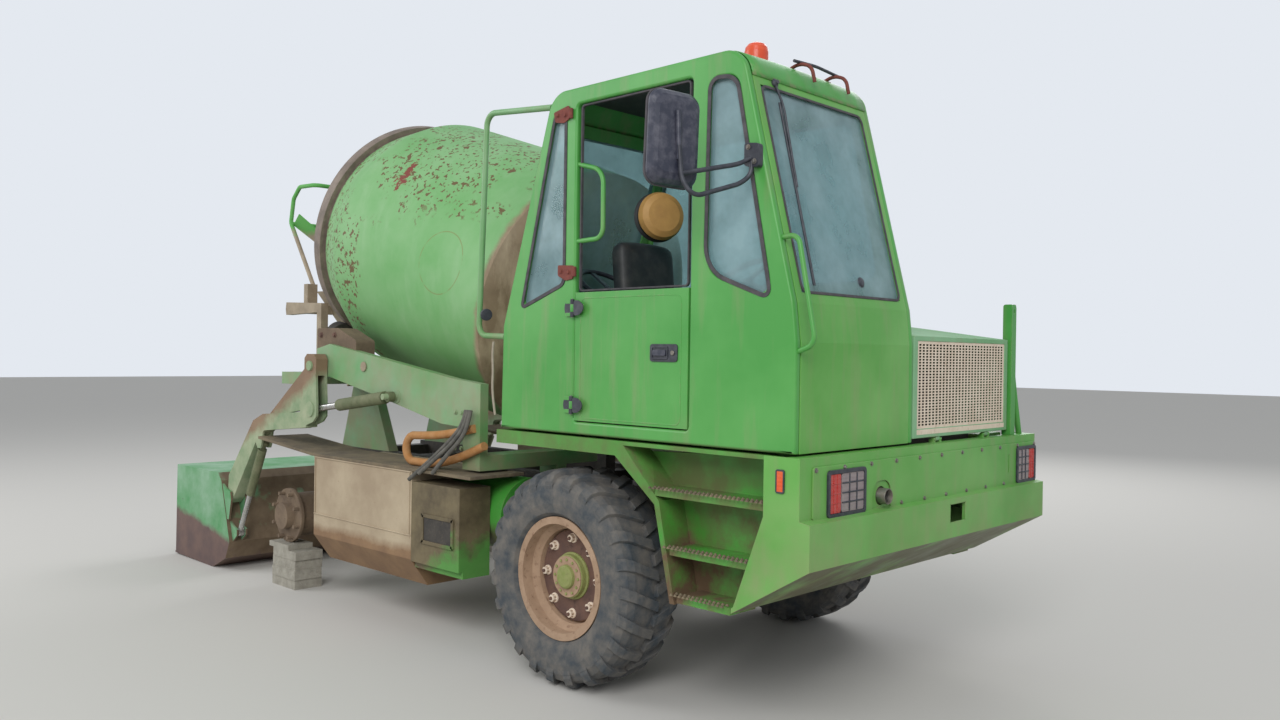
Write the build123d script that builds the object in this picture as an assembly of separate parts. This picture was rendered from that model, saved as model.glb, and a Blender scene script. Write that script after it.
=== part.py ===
"""Self-loading concrete mixer: half-width cab, engine hood beside it, tilting drum on a cradle,
and a loading bucket at the other end.

All sizes are in millimetres. While a piece is modelled, X runs from the cab-end axle towards the
cab's face, Y runs from the middle plane towards the far side (the door is on the side of -Y) and
Z runs up from the ground. The finished pieces are moved so that the origin is at the middle of
the whole machine's footprint."""
from build123d import *
from math import atan2, cos, degrees, pi, radians, sin, sqrt
import os

os.makedirs("parts", exist_ok=True)

PIN_GAP = 0.05               # running clearance of a pin in its bore
SEAT_GAP = 0.3               # between pieces that rest against each other

# Running gear
WHEELBASE = 3250
TYRE_R = 585                 # out to the tips of the lugs
TYRE_W = 405
TYRE_CORNER = 60
RIM_FLANGE_R = 330
RIM_SEAT_R = 305
RIM_W = 340
RIM_WALL = 14
WHEEL_Y = 1000               # middle plane of a wheel, from the machine's middle
DISC_INSET = 120             # wheel disc, inboard of the rim's outer flange
DISC_T = 16
HUB_R = 150
NUT_CIRCLE_R = 205
NUTS = 8
NUT_R = 19
KINGPIN_Y = 870
KNUCKLE_R = 150
AXLE_R = 85
DIFF_R = 210
AXLE_Z = TYRE_R
BARE_HUB_Z = 525             # the unwheeled axle sits a little lower, on its blocks
BARE_FLANGE_R = 205
BARE_FLANGE_Y = 1035

# Chassis
RAIL_Y = 400                 # middle of a rail
RAIL_W = 90
RAIL_H = 220
RAIL_TOP = 1010
RAIL_FRONT = 1400
RAIL_REAR = -3560
CROSS_W = 120
SKIRT_IN = 850               # inner edge of the fenders' decks

# Cab
CAB_NEAR = -1170
CAB_FAR = -155
CAB_WALL = 40
CAB_REAR = -505
CAB_FRONT = 1523
CAB_FLOOR_Z = 1365
CAB_FLOOR_T = 45
BELT_Z = 2030
CREASE_Z = 1855
ROOF_Z = 3195
ROOF_T = 45
ROOF_REAR = -110
SCREEN_TOP_X = 1235
SCREEN_TOP_Z = 3075
GLASS_T = 6
GLASS_GAP = 0.3
DOOR_X0 = 105
DOOR_X1 = 910
DOOR_Z0 = 1432
DOOR_SPLIT_Z = 2112
DOOR_TOP_Z = 3105
DOOR_GAP = 6
DOOR_PIVOT_X = DOOR_X0
DOOR_PIVOT_Y = CAB_NEAR - 16
DOOR_PIN_R = 5
DOOR_HINGES = (1520, 2030)

# Hood and engine
HOOD_NEAR = CAB_FAR + 6
HOOD_FAR = 930
HOOD_REAR = -300
HOOD_FRONT_TOP = 1905
HOOD_RISE = 235
HOOD_T = 30
HOOD_BOTTOM = 1385
GRILLE_MARGIN = 40
GRILLE_Z0 = 1432
HOOD_PIVOT_X = CAB_FRONT - 15
HOOD_PIVOT_Z = HOOD_BOTTOM - 14
HOOD_PIN_R = 6
HOOD_HINGES = (120, 680)
ENGINE_L = 1050
ENGINE_Y = 330
ENGINE_W = 560
ENGINE_H = 700

# Front end
BUMPER_FRONT = 1630
BUMPER_Z0 = 875
BUMPER_Z1 = 1075
PANEL_X = 1575
HALF_W = 1200
BELLY_X = 1210
BELLY_Z = 625
SHEET = 20
EXHAUST_X = 1290             # where the pipe hangs on the frame
EXHAUST_Y = -540
EXHAUST_Z = 1140
EXHAUST_R = 38
LAMP_Z0 = 1085
LAMP_Z1 = 1285
LAMP_IN = 200                # the near lamp starts this far in from the machine's side
LAMP_NEAR_W = 300
LAMP_FAR_W = 240

# Fender, skirt and steps
FENDER_Z = CAB_FLOOR_Z - 12
FENDER_REAR = -540
ARCH_TOP_X = 420
ARCH_MID = (700, 1060)
ARCH_LOW = (810, 595)
STEP_Z = (1138, 862, 640)
STEP_X0 = (674, 776, 825)
STEP_X1 = (1382, 1359, 1182)
STEP_DEPTH = 170
STEP_T = 34

# Tanks along the chassis
TANK_X0 = -2560
TANK_X1 = -1345
TANK_Z0 = 310
TANK_Z1 = 1040
TANK_OUT = 1200
TANK_IN = 640
BOX_X1 = -745
OIL_R = 230
OIL_Y = 740
OIL_Z = 790

# Drum
TILT = 16.5                  # degrees, rising towards the bucket
DRUM_X = -718                # middle of the closed end plate
DRUM_Z = 2016
DRUM_WALL = 12
END_R = 430
SHOULDER_S = 330
SHOULDER_R = 919
MID_S = 1000
MID_R = 965
BELLY_S = 2012
BELLY_R = 993
RING_S = 2403
RING_R = 871
RING_W = 90
RING_H = 45
MOUTH_S = 3010
MOUTH_R = 540
ROLLER_R = 110
ROLLER_W = 80
ROLLER_ANGLE = 35
ROLLER_GAP = 0.3

# Cradle beams
BEAM_Y0 = 1000
BEAM_Y1 = 1060
BEAM_X0 = -2620
BEAM_X1 = -1120
FOOT_X0 = -1010
FOOT_X1 = -840
FOOT_Z0 = 1075
FOOT_Z1 = 1165
BRIDGE_X0 = -3330
BRIDGE_X1 = -3050
BRIDGE_Z0 = 1530
BRIDGE_Z1 = 1620
DRIVE_R = 140

# Loader
LIFT_X = -2716               # upper pivot of the arms
LIFT_Z = 1676
BOSS_X = -2708               # where the lift cylinder pushes the crank
BOSS_Z = 1365
BOOM_X = -2860
BOOM_Z0 = 1216
BOOM_Z1 = 1342
KNEE_X = -3600               # the boom's bend, at its outer edge
KNEE_Z = 1225
ARM_Y = 1112
ARM_W = 90
ARM_PIN_R = 35
GUSSET_T = 30
EAR_T = 16
EAR_GAP = 6
TILT_PIN_X = -3980           # where the bucket hangs
TILT_PIN_Z = 600
BUCKET_LIP_X = -4985
BUCKET_HALF = 1185
BUCKET_TOP = 780
BUCKET_PLATE = 16

# Cylinders of the loader
LIFT_BASE_X = -1740
LIFT_BASE_Z = 1490
LIFT_BARREL = 640
LIFT_BARREL_R = 42
LIFT_ROD_R = 24
TILT_BASE_X = -3500
TILT_BASE_Z = 1065
TILT_END_X = -3900
TILT_END_Z = 320
TILT_BARREL = 480
TILT_BARREL_R = 34
TILT_ROD_R = 20
CYL_PIN_R = 20
CYL_EYE_W = 44
CYL_SLOT = 56

# Hopper in front of the drum's mouth, its guard tube and the discharge chute
HOPPER_LOW = (-3740, 2455)
HOPPER_HIGH = (-4100, 2850)
HOPPER_HALF_LOW = 220
HOPPER_HALF = 585
HOPPER_T = 8
HOPPER_BEAM_Y = 640
TUBE_R = 17
FUNNEL_Z1 = 2290
FUNNEL_Z0 = 1800
CHUTE_X = -3480
CHUTE_HALF = 190
CHUTE_PIN_R = 28

MIRROR_W = 250
MIRROR_H = 430
MIRROR_REACH = 1640          # mirror's outer edge, from the machine's middle
SHIFT_X = -(BUMPER_FRONT + BUCKET_LIP_X) / 2
SHIFT_Y = (MIRROR_REACH - HALF_W) / 2


def block(x0, x1, y0, y1, z0, z1):
    """A box given by its lowest and highest corners."""
    return Pos((x0 + x1) / 2, (y0 + y1) / 2, (z0 + z1) / 2) * Box(x1 - x0, y1 - y0, z1 - z0)


def outline(points, radius=0):
    """A flat face from its corners, with every corner rounded where a radius is given."""
    if radius:
        return make_face(FilletPolyline(*points, radius=radius, close=True))
    return make_face(Polyline(*points, close=True))


def side_plate(points, y0, y1, radius=0):
    """A plate drawn from the side, as (x, z) corners, from y0 to y1."""
    plane = Plane(origin=(0, y1, 0), x_dir=(1, 0, 0), z_dir=(0, -1, 0))
    return extrude(plane * outline(points, radius), y1 - y0)


def front_plate(points, x0, x1, radius=0):
    """A plate drawn from the front, as (y, z) corners, from x0 to x1."""
    plane = Plane(origin=(x0, 0, 0), x_dir=(0, 1, 0), z_dir=(1, 0, 0))
    return extrude(plane * outline(points, radius), x1 - x0)


def top_plate(points, z0, z1, radius=0):
    """A plate drawn from above, as (x, y) corners, from z0 to z1."""
    return extrude(Plane.XY.offset(z0) * outline(points, radius), z1 - z0)


def rod(start, end, radius):
    """A round bar between two points."""
    start = Vector(*start)
    run = Vector(*end) - start
    return extrude(Plane(origin=start, z_dir=run) * Circle(radius), run.length)


def pipe(start, end, radius, bore):
    """A round tube between two points."""
    start = Vector(*start)
    run = Vector(*end) - start
    ring = Circle(radius) - Circle(bore)
    return extrude(Plane(origin=start, z_dir=run) * ring, run.length)


def cross_rod(x, z, y0, y1, radius):
    return rod((x, y0, z), (x, y1, z), radius)


def bent_tube(points, radius, bend):
    """A tube frame's solid bar: straight runs joined by bends of one or several radii."""
    path = FilletPolyline(*points, radius=bend)
    start = Plane(origin=path @ 0, z_dir=path % 0)
    return sweep(start * Circle(radius), path)


def mirror_y(shape):
    return mirror(shape, about=Plane.XZ)


def joined(shapes):
    """One solid from pieces that overlap or touch."""
    whole = shapes[0]
    for shape in shapes[1:]:
        whole = whole + shape
    return whole


def turned(profile, x, z, y_sign):
    """Revolve an (outboard, radius) outline about a wheel axle and set it at its wheel's middle."""
    plane = Plane(origin=(0, 0, 0), x_dir=(0, y_sign, 0), z_dir=(y_sign, 0, 0))
    solid = revolve(plane * outline(profile), axis=Axis.Y)
    return Pos(x, 0, z) * solid


PARTS = {}


def wheels():
    half = TYRE_W / 2
    tyre = [
        (WHEEL_Y - RIM_W / 2 + 12.3, RIM_SEAT_R + 0.3), (WHEEL_Y - RIM_W / 2 + 12.3, RIM_FLANGE_R + 0.5),
        (WHEEL_Y - RIM_W / 2 - 4, RIM_FLANGE_R + 0.5), (WHEEL_Y - half, RIM_FLANGE_R + 90),
        (WHEEL_Y - half, TYRE_R - TYRE_CORNER - 40), (WHEEL_Y - half + 30, TYRE_R - TYRE_CORNER + 20),
        (WHEEL_Y - half + 90, TYRE_R), (WHEEL_Y + half - 90, TYRE_R),
        (WHEEL_Y + half - 30, TYRE_R - TYRE_CORNER + 20), (WHEEL_Y + half, TYRE_R - TYRE_CORNER - 40),
        (WHEEL_Y + half, RIM_FLANGE_R + 90), (WHEEL_Y + RIM_W / 2 + 4, RIM_FLANGE_R + 0.5),
        (WHEEL_Y + RIM_W / 2 - 12.3, RIM_FLANGE_R + 0.5), (WHEEL_Y + RIM_W / 2 - 12.3, RIM_SEAT_R + 0.3),
    ]
    out = WHEEL_Y + RIM_W / 2
    inn = WHEEL_Y - RIM_W / 2
    well = RIM_SEAT_R - 35
    rim = [
        (inn, RIM_FLANGE_R), (inn, RIM_SEAT_R - RIM_WALL), (inn + 70, RIM_SEAT_R - RIM_WALL),
        (inn + 95, well - RIM_WALL), (out - 95, well - RIM_WALL), (out - 70, RIM_SEAT_R - RIM_WALL),
        (out, RIM_SEAT_R - RIM_WALL), (out, RIM_FLANGE_R), (out - 12, RIM_FLANGE_R),
        (out - 12, RIM_SEAT_R), (out - 70, RIM_SEAT_R), (out - 90, well), (inn + 90, well),
        (inn + 70, RIM_SEAT_R), (inn + 12, RIM_SEAT_R), (inn + 12, RIM_FLANGE_R),
    ]
    disc_y = out - DISC_INSET
    disc = [
        (disc_y - DISC_T, 60), (disc_y, 60), (disc_y, HUB_R + 90), (disc_y - 30, well - RIM_WALL + 2),
        (disc_y - 30 - DISC_T, well - RIM_WALL + 2), (disc_y - DISC_T, HUB_R + 80),
    ]
    knuckle_face = disc_y - DISC_T - 0.3
    for side, sign in (("near", -1), ("far", 1)):
        PARTS["tyre_" + side] = turned(tyre, 0, AXLE_Z, sign)
        wheel = turned(rim, 0, AXLE_Z, sign) + turned(disc, 0, AXLE_Z, sign)
        cap_y = disc_y + 55
        wheel += rod((0, sign * disc_y, AXLE_Z), (0, sign * cap_y, AXLE_Z), HUB_R - 40)
        wheel += rod((0, sign * (disc_y - DISC_T), AXLE_Z), (0, sign * disc_y, AXLE_Z), 61)
        for i in range(NUTS):
            a = 2 * pi * i / NUTS
            x = NUT_CIRCLE_R * cos(a)
            z = AXLE_Z + NUT_CIRCLE_R * sin(a)
            wheel += rod((x, sign * (disc_y - 2), z), (x, sign * (disc_y + 28), z), NUT_R)
        PARTS["rim_" + side] = wheel
        body = rod((0, sign * (KINGPIN_Y - 105), AXLE_Z), (0, sign * knuckle_face, AXLE_Z), KNUCKLE_R)
        body += cross_rod(0, AXLE_Z, *sorted((sign * (KINGPIN_Y + 20), sign * knuckle_face)), KNUCKLE_R + 35)
        body += rod((0, sign * KINGPIN_Y, AXLE_Z - 190), (0, sign * KINGPIN_Y, AXLE_Z + 190), 45)
        body -= rod((0, sign * KINGPIN_Y, AXLE_Z - 230), (0, sign * KINGPIN_Y, AXLE_Z + 230), 22)
        hollow = cross_rod(0, AXLE_Z, *sorted((sign * (KINGPIN_Y - 140), sign * (KINGPIN_Y + 60))), 120)
        body -= hollow
        PARTS["knuckle_" + side] = body


def axle_beam(x, z, end_y):
    beam = cross_rod(x, z, -end_y, end_y, AXLE_R)
    beam += Pos(x, 0, z) * Sphere(DIFF_R)
    beam += cross_rod(x, z, -RAIL_Y - 60, RAIL_Y + 60, AXLE_R + 25)
    for sign in (-1, 1):
        seat = block(x - 90, x + 90, sign * RAIL_Y - 40, sign * RAIL_Y + 40, z, RAIL_TOP - RAIL_H)
        beam += seat
    return beam


def axles():
    front = axle_beam(0, AXLE_Z, KINGPIN_Y - 175)
    for sign in (-1, 1):
        for lift in (-1, 1):
            z0 = AXLE_Z + lift * 190.3
            z1 = AXLE_Z + lift * 235
            lug = block(-40, 40, *sorted((sign * (KINGPIN_Y - 200), sign * (KINGPIN_Y + 30))),
                        *sorted((z0, z1)))
            front += lug
        pin = rod((0, sign * KINGPIN_Y, AXLE_Z - 235), (0, sign * KINGPIN_Y, AXLE_Z + 235), 21.95)
        front += pin
        back = block(-60, 60, *sorted((sign * (KINGPIN_Y - 215), sign * (KINGPIN_Y - 175))),
                     AXLE_Z - 235, AXLE_Z + 235)
        front += back
    PARTS["cab_axle"] = front
    rear = axle_beam(-WHEELBASE, BARE_HUB_Z, KINGPIN_Y - 100)
    for sign in (-1, 1):
        x = -WHEELBASE
        z = BARE_HUB_Z
        rear += cross_rod(x, z, *sorted((sign * (KINGPIN_Y - 120), sign * (BARE_FLANGE_Y - 25))), 165)
        rear += cross_rod(x, z, *sorted((sign * (BARE_FLANGE_Y - 25), sign * BARE_FLANGE_Y)), BARE_FLANGE_R)
        rear += cross_rod(x, z, *sorted((sign * BARE_FLANGE_Y, sign * (BARE_FLANGE_Y + 60))), 100)
        for i in range(NUTS):
            a = 2 * pi * (i + 0.5) / NUTS
            nx = x + 175 * cos(a)
            nz = z + 175 * sin(a)
            rear += cross_rod(nx, nz, *sorted((sign * (BARE_FLANGE_Y - 2), sign * (BARE_FLANGE_Y + 45))), 14)
    PARTS["bucket_axle"] = rear


def block_stacks():
    stack_half = 175
    layers = ((0, 72, 0, 0), (72, 144, 12, -8), (144, 216, -6, 6), (216, 280, 8, 0))
    solids = []
    for sign in (-1, 1):
        pile = []
        for z0, z1, dx, dy in layers:
            x = -WHEELBASE + 70 + dx
            y = sign * (BARE_FLANGE_Y - 40) + dy
            pile.append(block(x - stack_half, x + stack_half, y - 110, y + 110, z0, z1))
        top = BARE_HUB_Z - BARE_FLANGE_R - 0.3
        x = -WHEELBASE
        y = sign * (BARE_FLANGE_Y - 30)
        pile.append(block(x - 160, x + 140, y - 100, y + 100, 280, top))
        solids.append(joined(pile))
    PARTS["block_stacks"] = Compound(solids)


def chassis():
    rails = []
    for sign in (-1, 1):
        y = sign * RAIL_Y
        rails.append(block(RAIL_REAR, RAIL_FRONT, y - RAIL_W / 2, y + RAIL_W / 2, RAIL_TOP - RAIL_H, RAIL_TOP))
    for x in (-3500, -2700, -1900, -1000, -430, 600, 1290):
        rails.append(block(x - CROSS_W / 2, x + CROSS_W / 2, -RAIL_Y, RAIL_Y, RAIL_TOP - 180, RAIL_TOP - 30))
    for x in (-430, 1290):
        # Cross beams on posts that carry the cab floor and the hood
        reach = SKIRT_IN - SEAT_GAP
        rails.append(block(x - 40, x + 40, -reach, reach, CAB_FLOOR_Z - 90, CAB_FLOOR_Z - SEAT_GAP))
        for y in (-RAIL_Y, RAIL_Y):
            rails.append(block(x - 40, x + 40, y - 40, y + 40, RAIL_TOP, CAB_FLOOR_Z - 90))
    for x in (-2400, -1500):
        # Brackets of the tanks on both sides
        reach = TANK_IN - SEAT_GAP
        rails.append(block(x - 40, x + 40, -reach, reach, RAIL_TOP - 200, RAIL_TOP - 120))
    for x in (-1240, -860):
        # Brackets of the oil tank
        rails.append(block(x - 35, x + 35, -OIL_Y + OIL_R + SEAT_GAP, -RAIL_Y, OIL_Z - 15, OIL_Z + 15))
    # Hanger of the exhaust pipe, on a post of the front cross beam
    rails.append(block(EXHAUST_X - 20, EXHAUST_X + 20, EXHAUST_Y + EXHAUST_R + SEAT_GAP, -RAIL_Y,
                       EXHAUST_Z - 15, EXHAUST_Z + 15))
    PARTS["chassis_frame"] = joined(rails)
    PARTS["engine_block"] = block(150, 150 + ENGINE_L, ENGINE_Y - ENGINE_W / 2, ENGINE_Y + ENGINE_W / 2,
                                  RAIL_TOP + 0.3, RAIL_TOP + 0.3 + ENGINE_H)


def cab_side_line():
    """The cab's outline from the side, from its rear bottom corner round to its face."""
    return [
        (CAB_REAR, CAB_FLOOR_Z), (CAB_REAR + 10, 1940), (ROOF_REAR, ROOF_Z - ROOF_T),
        (SCREEN_TOP_X - 60, ROOF_Z - ROOF_T), (SCREEN_TOP_X, SCREEN_TOP_Z), (CAB_FRONT - 20, BELT_Z),
        (CAB_FRONT, CREASE_Z), (CAB_FRONT, CAB_FLOOR_Z),
    ]


REAR_WINDOW = [(-70, 3070), (18, 3082), (18, 2175), (-60, 2120), (-330, 2035)]
FRONT_WINDOW = [(1020, 3085), (1180, 3070), (1385, 2060), (1330, 2050), (1003, 2185)]


def grown(points, amount):
    """The same outline, moved outwards from its middle by an amount at each corner."""
    mx = sum(p[0] for p in points) / len(points)
    mz = sum(p[1] for p in points) / len(points)
    out = []
    for px, pz in points:
        reach = sqrt((px - mx) ** 2 + (pz - mz) ** 2)
        out.append((mx + (px - mx) * (reach + amount) / reach, mz + (pz - mz) * (reach + amount) / reach))
    return out


def cab():
    line = cab_side_line()
    near_in = CAB_NEAR + CAB_WALL
    near = side_plate(line, CAB_NEAR, near_in)
    door_hole = block(DOOR_X0, DOOR_X1, CAB_NEAR - 10, near_in + 10, DOOR_Z0, DOOR_TOP_Z)
    near -= door_hole
    for window in (REAR_WINDOW, FRONT_WINDOW):
        near -= side_plate(window, CAB_NEAR - 10, near_in + 10, radius=35)
    for z in DOOR_HINGES:
        # A leaf on the pillar carries the pin; the door's knuckle turns on it
        for low in (z - 46, z + 21):
            near += block(DOOR_X0 - 60, DOOR_X0 - 2, DOOR_PIVOT_Y - 8, CAB_NEAR, low, low + 25)
            near += block(DOOR_X0 - 10, DOOR_PIVOT_X + 8, DOOR_PIVOT_Y - 8, DOOR_PIVOT_Y + 8, low, low + 25)
        near += rod((DOOR_PIVOT_X, DOOR_PIVOT_Y, z - 46), (DOOR_PIVOT_X, DOOR_PIVOT_Y, z + 46), DOOR_PIN_R)
    PARTS["cab_near_side"] = near
    far_in = CAB_FAR - CAB_WALL
    far = side_plate(line, far_in, CAB_FAR)
    far_window = [(-150, 3040), (1150, 3040), (1330, 2180), (-330, 2180)]
    far -= side_plate(far_window, far_in - 10, CAB_FAR + 10, radius=60)
    PARTS["cab_far_side"] = far

    y0 = near_in + GLASS_GAP
    y1 = far_in - GLASS_GAP
    face_out = [(CAB_FRONT, CAB_FLOOR_Z), (CAB_FRONT, CREASE_Z), (CAB_FRONT - 20, BELT_Z),
                (SCREEN_TOP_X, SCREEN_TOP_Z)]
    face_in = [(x - CAB_WALL, z) for x, z in reversed(face_out)]
    front = side_plate(face_out + face_in, y0, y1)
    slope = (CAB_FRONT - 20 - SCREEN_TOP_X) / (SCREEN_TOP_Z - BELT_Z)
    z_low = BELT_Z + 45
    z_high = SCREEN_TOP_Z - 45

    def screen_x(z):
        return CAB_FRONT - 20 - slope * (z - BELT_Z)

    hole = [(screen_x(z_low) + 20, z_low), (screen_x(z_high) + 20, z_high),
            (screen_x(z_high) - CAB_WALL - 20, z_high), (screen_x(z_low) - CAB_WALL - 20, z_low)]
    front -= side_plate(hole, y0 + 45, y1 - 45)
    PARTS["cab_front"] = front
    glass = [(screen_x(z_low) - 10, z_low + 0.3), (screen_x(z_high) - 10, z_high - 0.3),
             (screen_x(z_high) - 10 - GLASS_T, z_high - 0.3), (screen_x(z_low) - 10 - GLASS_T, z_low + 0.3)]
    PARTS["windscreen"] = side_plate(glass, y0 + 45.3, y1 - 45.3)

    rear_out = [(CAB_REAR, CAB_FLOOR_Z), (CAB_REAR + 10, 1940), (ROOF_REAR, ROOF_Z - ROOF_T)]
    rear_in = [(x + CAB_WALL, z) for x, z in reversed(rear_out)]
    rear = side_plate(rear_out + rear_in, y0, y1)
    lean = (ROOF_REAR - CAB_REAR - 10) / (ROOF_Z - ROOF_T - 1940)

    def rear_x(z):
        return CAB_REAR + 10 + lean * (z - 1940)

    rear_hole = [(rear_x(2050) - 20, 2050), (rear_x(3060) - 20, 3060), (rear_x(3060) + 60, 3060),
                 (rear_x(2050) + 60, 2050)]
    rear -= side_plate(rear_hole, y0 + 60, y1 - 60)
    PARTS["cab_rear"] = rear
    back_glass = [(rear_x(2050) + 10, 2050.3), (rear_x(3060) + 10, 3059.7),
                  (rear_x(3060) + 10 + GLASS_T, 3059.7), (rear_x(2050) + 10 + GLASS_T, 2050.3)]
    panes = [side_plate(back_glass, y0 + 60.3, y1 - 60.3)]
    mid = (CAB_NEAR + near_in) / 2
    for window in (REAR_WINDOW, FRONT_WINDOW):
        panes.append(side_plate(grown(window, -0.6), mid - GLASS_T / 2, mid + GLASS_T / 2, radius=35))
    mid = (CAB_FAR + far_in) / 2
    panes.append(side_plate(grown(far_window, -0.6), mid - GLASS_T / 2, mid + GLASS_T / 2, radius=60))
    PARTS["cab_glass"] = Compound(panes)

    floor = block(CAB_REAR + CAB_WALL + 3, CAB_FRONT - CAB_WALL - 0.3, y0, y1, CAB_FLOOR_Z,
                  CAB_FLOOR_Z + CAB_FLOOR_T)
    PARTS["cab_floor"] = floor
    crown = 40
    roof = [(ROOF_REAR - 25, ROOF_Z - ROOF_T + 0.3), (SCREEN_TOP_X - 55, ROOF_Z - ROOF_T + 0.3),
            (SCREEN_TOP_X - 70, ROOF_Z), (SCREEN_TOP_X - 300, ROOF_Z + crown / 2),
            (ROOF_REAR + 200, ROOF_Z + crown / 2), (ROOF_REAR - 10, ROOF_Z)]
    PARTS["cab_roof"] = side_plate(roof, CAB_NEAR - 6, CAB_FAR + 6)

    door = block(DOOR_X0 + DOOR_GAP, DOOR_X1 - DOOR_GAP, CAB_NEAR, near_in, DOOR_Z0 + DOOR_GAP, DOOR_SPLIT_Z)
    for z in DOOR_HINGES:
        door += rod((DOOR_PIVOT_X, DOOR_PIVOT_Y, z - 20), (DOOR_PIVOT_X, DOOR_PIVOT_Y, z + 20), 11)
        door += block(DOOR_PIVOT_X, DOOR_X0 + 70, DOOR_PIVOT_Y - 4, DOOR_PIVOT_Y + 4, z - 20, z + 20)
        door += block(DOOR_X0 + DOOR_GAP + 4, DOOR_X0 + 70, DOOR_PIVOT_Y - 4, CAB_NEAR, z - 20, z + 20)
        door -= rod((DOOR_PIVOT_X, DOOR_PIVOT_Y, z - 30), (DOOR_PIVOT_X, DOOR_PIVOT_Y, z + 30), DOOR_PIN_R + PIN_GAP)
    PARTS["cab_door"] = door


def inside():
    y = (CAB_NEAR + CAB_FAR) / 2
    z = CAB_FLOOR_Z + CAB_FLOOR_T + 0.3
    seat = block(80, 420, y - 150, y + 150, z, z + 300)
    seat += block(20, 520, y - 240, y + 240, z + 300, z + 430)
    seat += side_plate([(60, z + 420), (170, z + 420), (190, z + 1000), (110, z + 1000)], y - 220, y + 220)
    PARTS["driver_seat"] = seat
    stations = []
    for x, lean, wheel_x in ((-330, 1, -150), (1150, -1, 850)):
        column = block(x - 60, x + 60, y - 90, y + 90, z, z + 560)
        column += rod((x, y, z + 500), (wheel_x, y, z + 760), 30)
        tilt = Plane(origin=(wheel_x, y, z + 760), z_dir=(lean * 0.55, 0, 0.83))
        column += tilt * Torus(190, 14)
        column += tilt * (Pos(0, 0, -3) * Box(370, 30, 12))
        stations.append(column)
    PARTS["steering_stations"] = Compound(stations)


def hood():
    top = [(HOOD_REAR, HOOD_FRONT_TOP + HOOD_RISE), (CAB_FRONT, HOOD_FRONT_TOP)]
    side = [(HOOD_REAR, HOOD_BOTTOM), top[0], top[1], (CAB_FRONT, HOOD_BOTTOM)]
    shell = side_plate(side, HOOD_NEAR, HOOD_FAR)
    core = [(HOOD_REAR + HOOD_T, HOOD_BOTTOM - 10), (HOOD_REAR + HOOD_T, HOOD_FRONT_TOP + HOOD_RISE - HOOD_T),
            (CAB_FRONT - HOOD_T, HOOD_FRONT_TOP - HOOD_T), (CAB_FRONT - HOOD_T, HOOD_BOTTOM - 10)]
    shell -= side_plate(core, HOOD_NEAR + HOOD_T, HOOD_FAR - HOOD_T)
    y0 = HOOD_NEAR + GRILLE_MARGIN
    y1 = HOOD_FAR - GRILLE_MARGIN
    shell -= block(CAB_FRONT - HOOD_T - 10, CAB_FRONT + 10, y0, y1, GRILLE_Z0, HOOD_FRONT_TOP - 25)
    for y in HOOD_HINGES:
        shell += cross_rod(HOOD_PIVOT_X, HOOD_PIVOT_Z, y - 20, y + 20, 11)
        shell += block(HOOD_PIVOT_X - 11, HOOD_PIVOT_X + 11, y - 20, y + 20, HOOD_PIVOT_Z, HOOD_BOTTOM + 5)
        shell -= cross_rod(HOOD_PIVOT_X, HOOD_PIVOT_Z, y - 25, y + 25, HOOD_PIN_R + PIN_GAP)
    PARTS["engine_hood"] = shell
    grille = block(CAB_FRONT - 20, CAB_FRONT - 4, y0 + 0.3, y1 - 0.3, GRILLE_Z0 + 0.3, HOOD_FRONT_TOP - 25.3)
    PARTS["radiator_grille"] = grille


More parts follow.
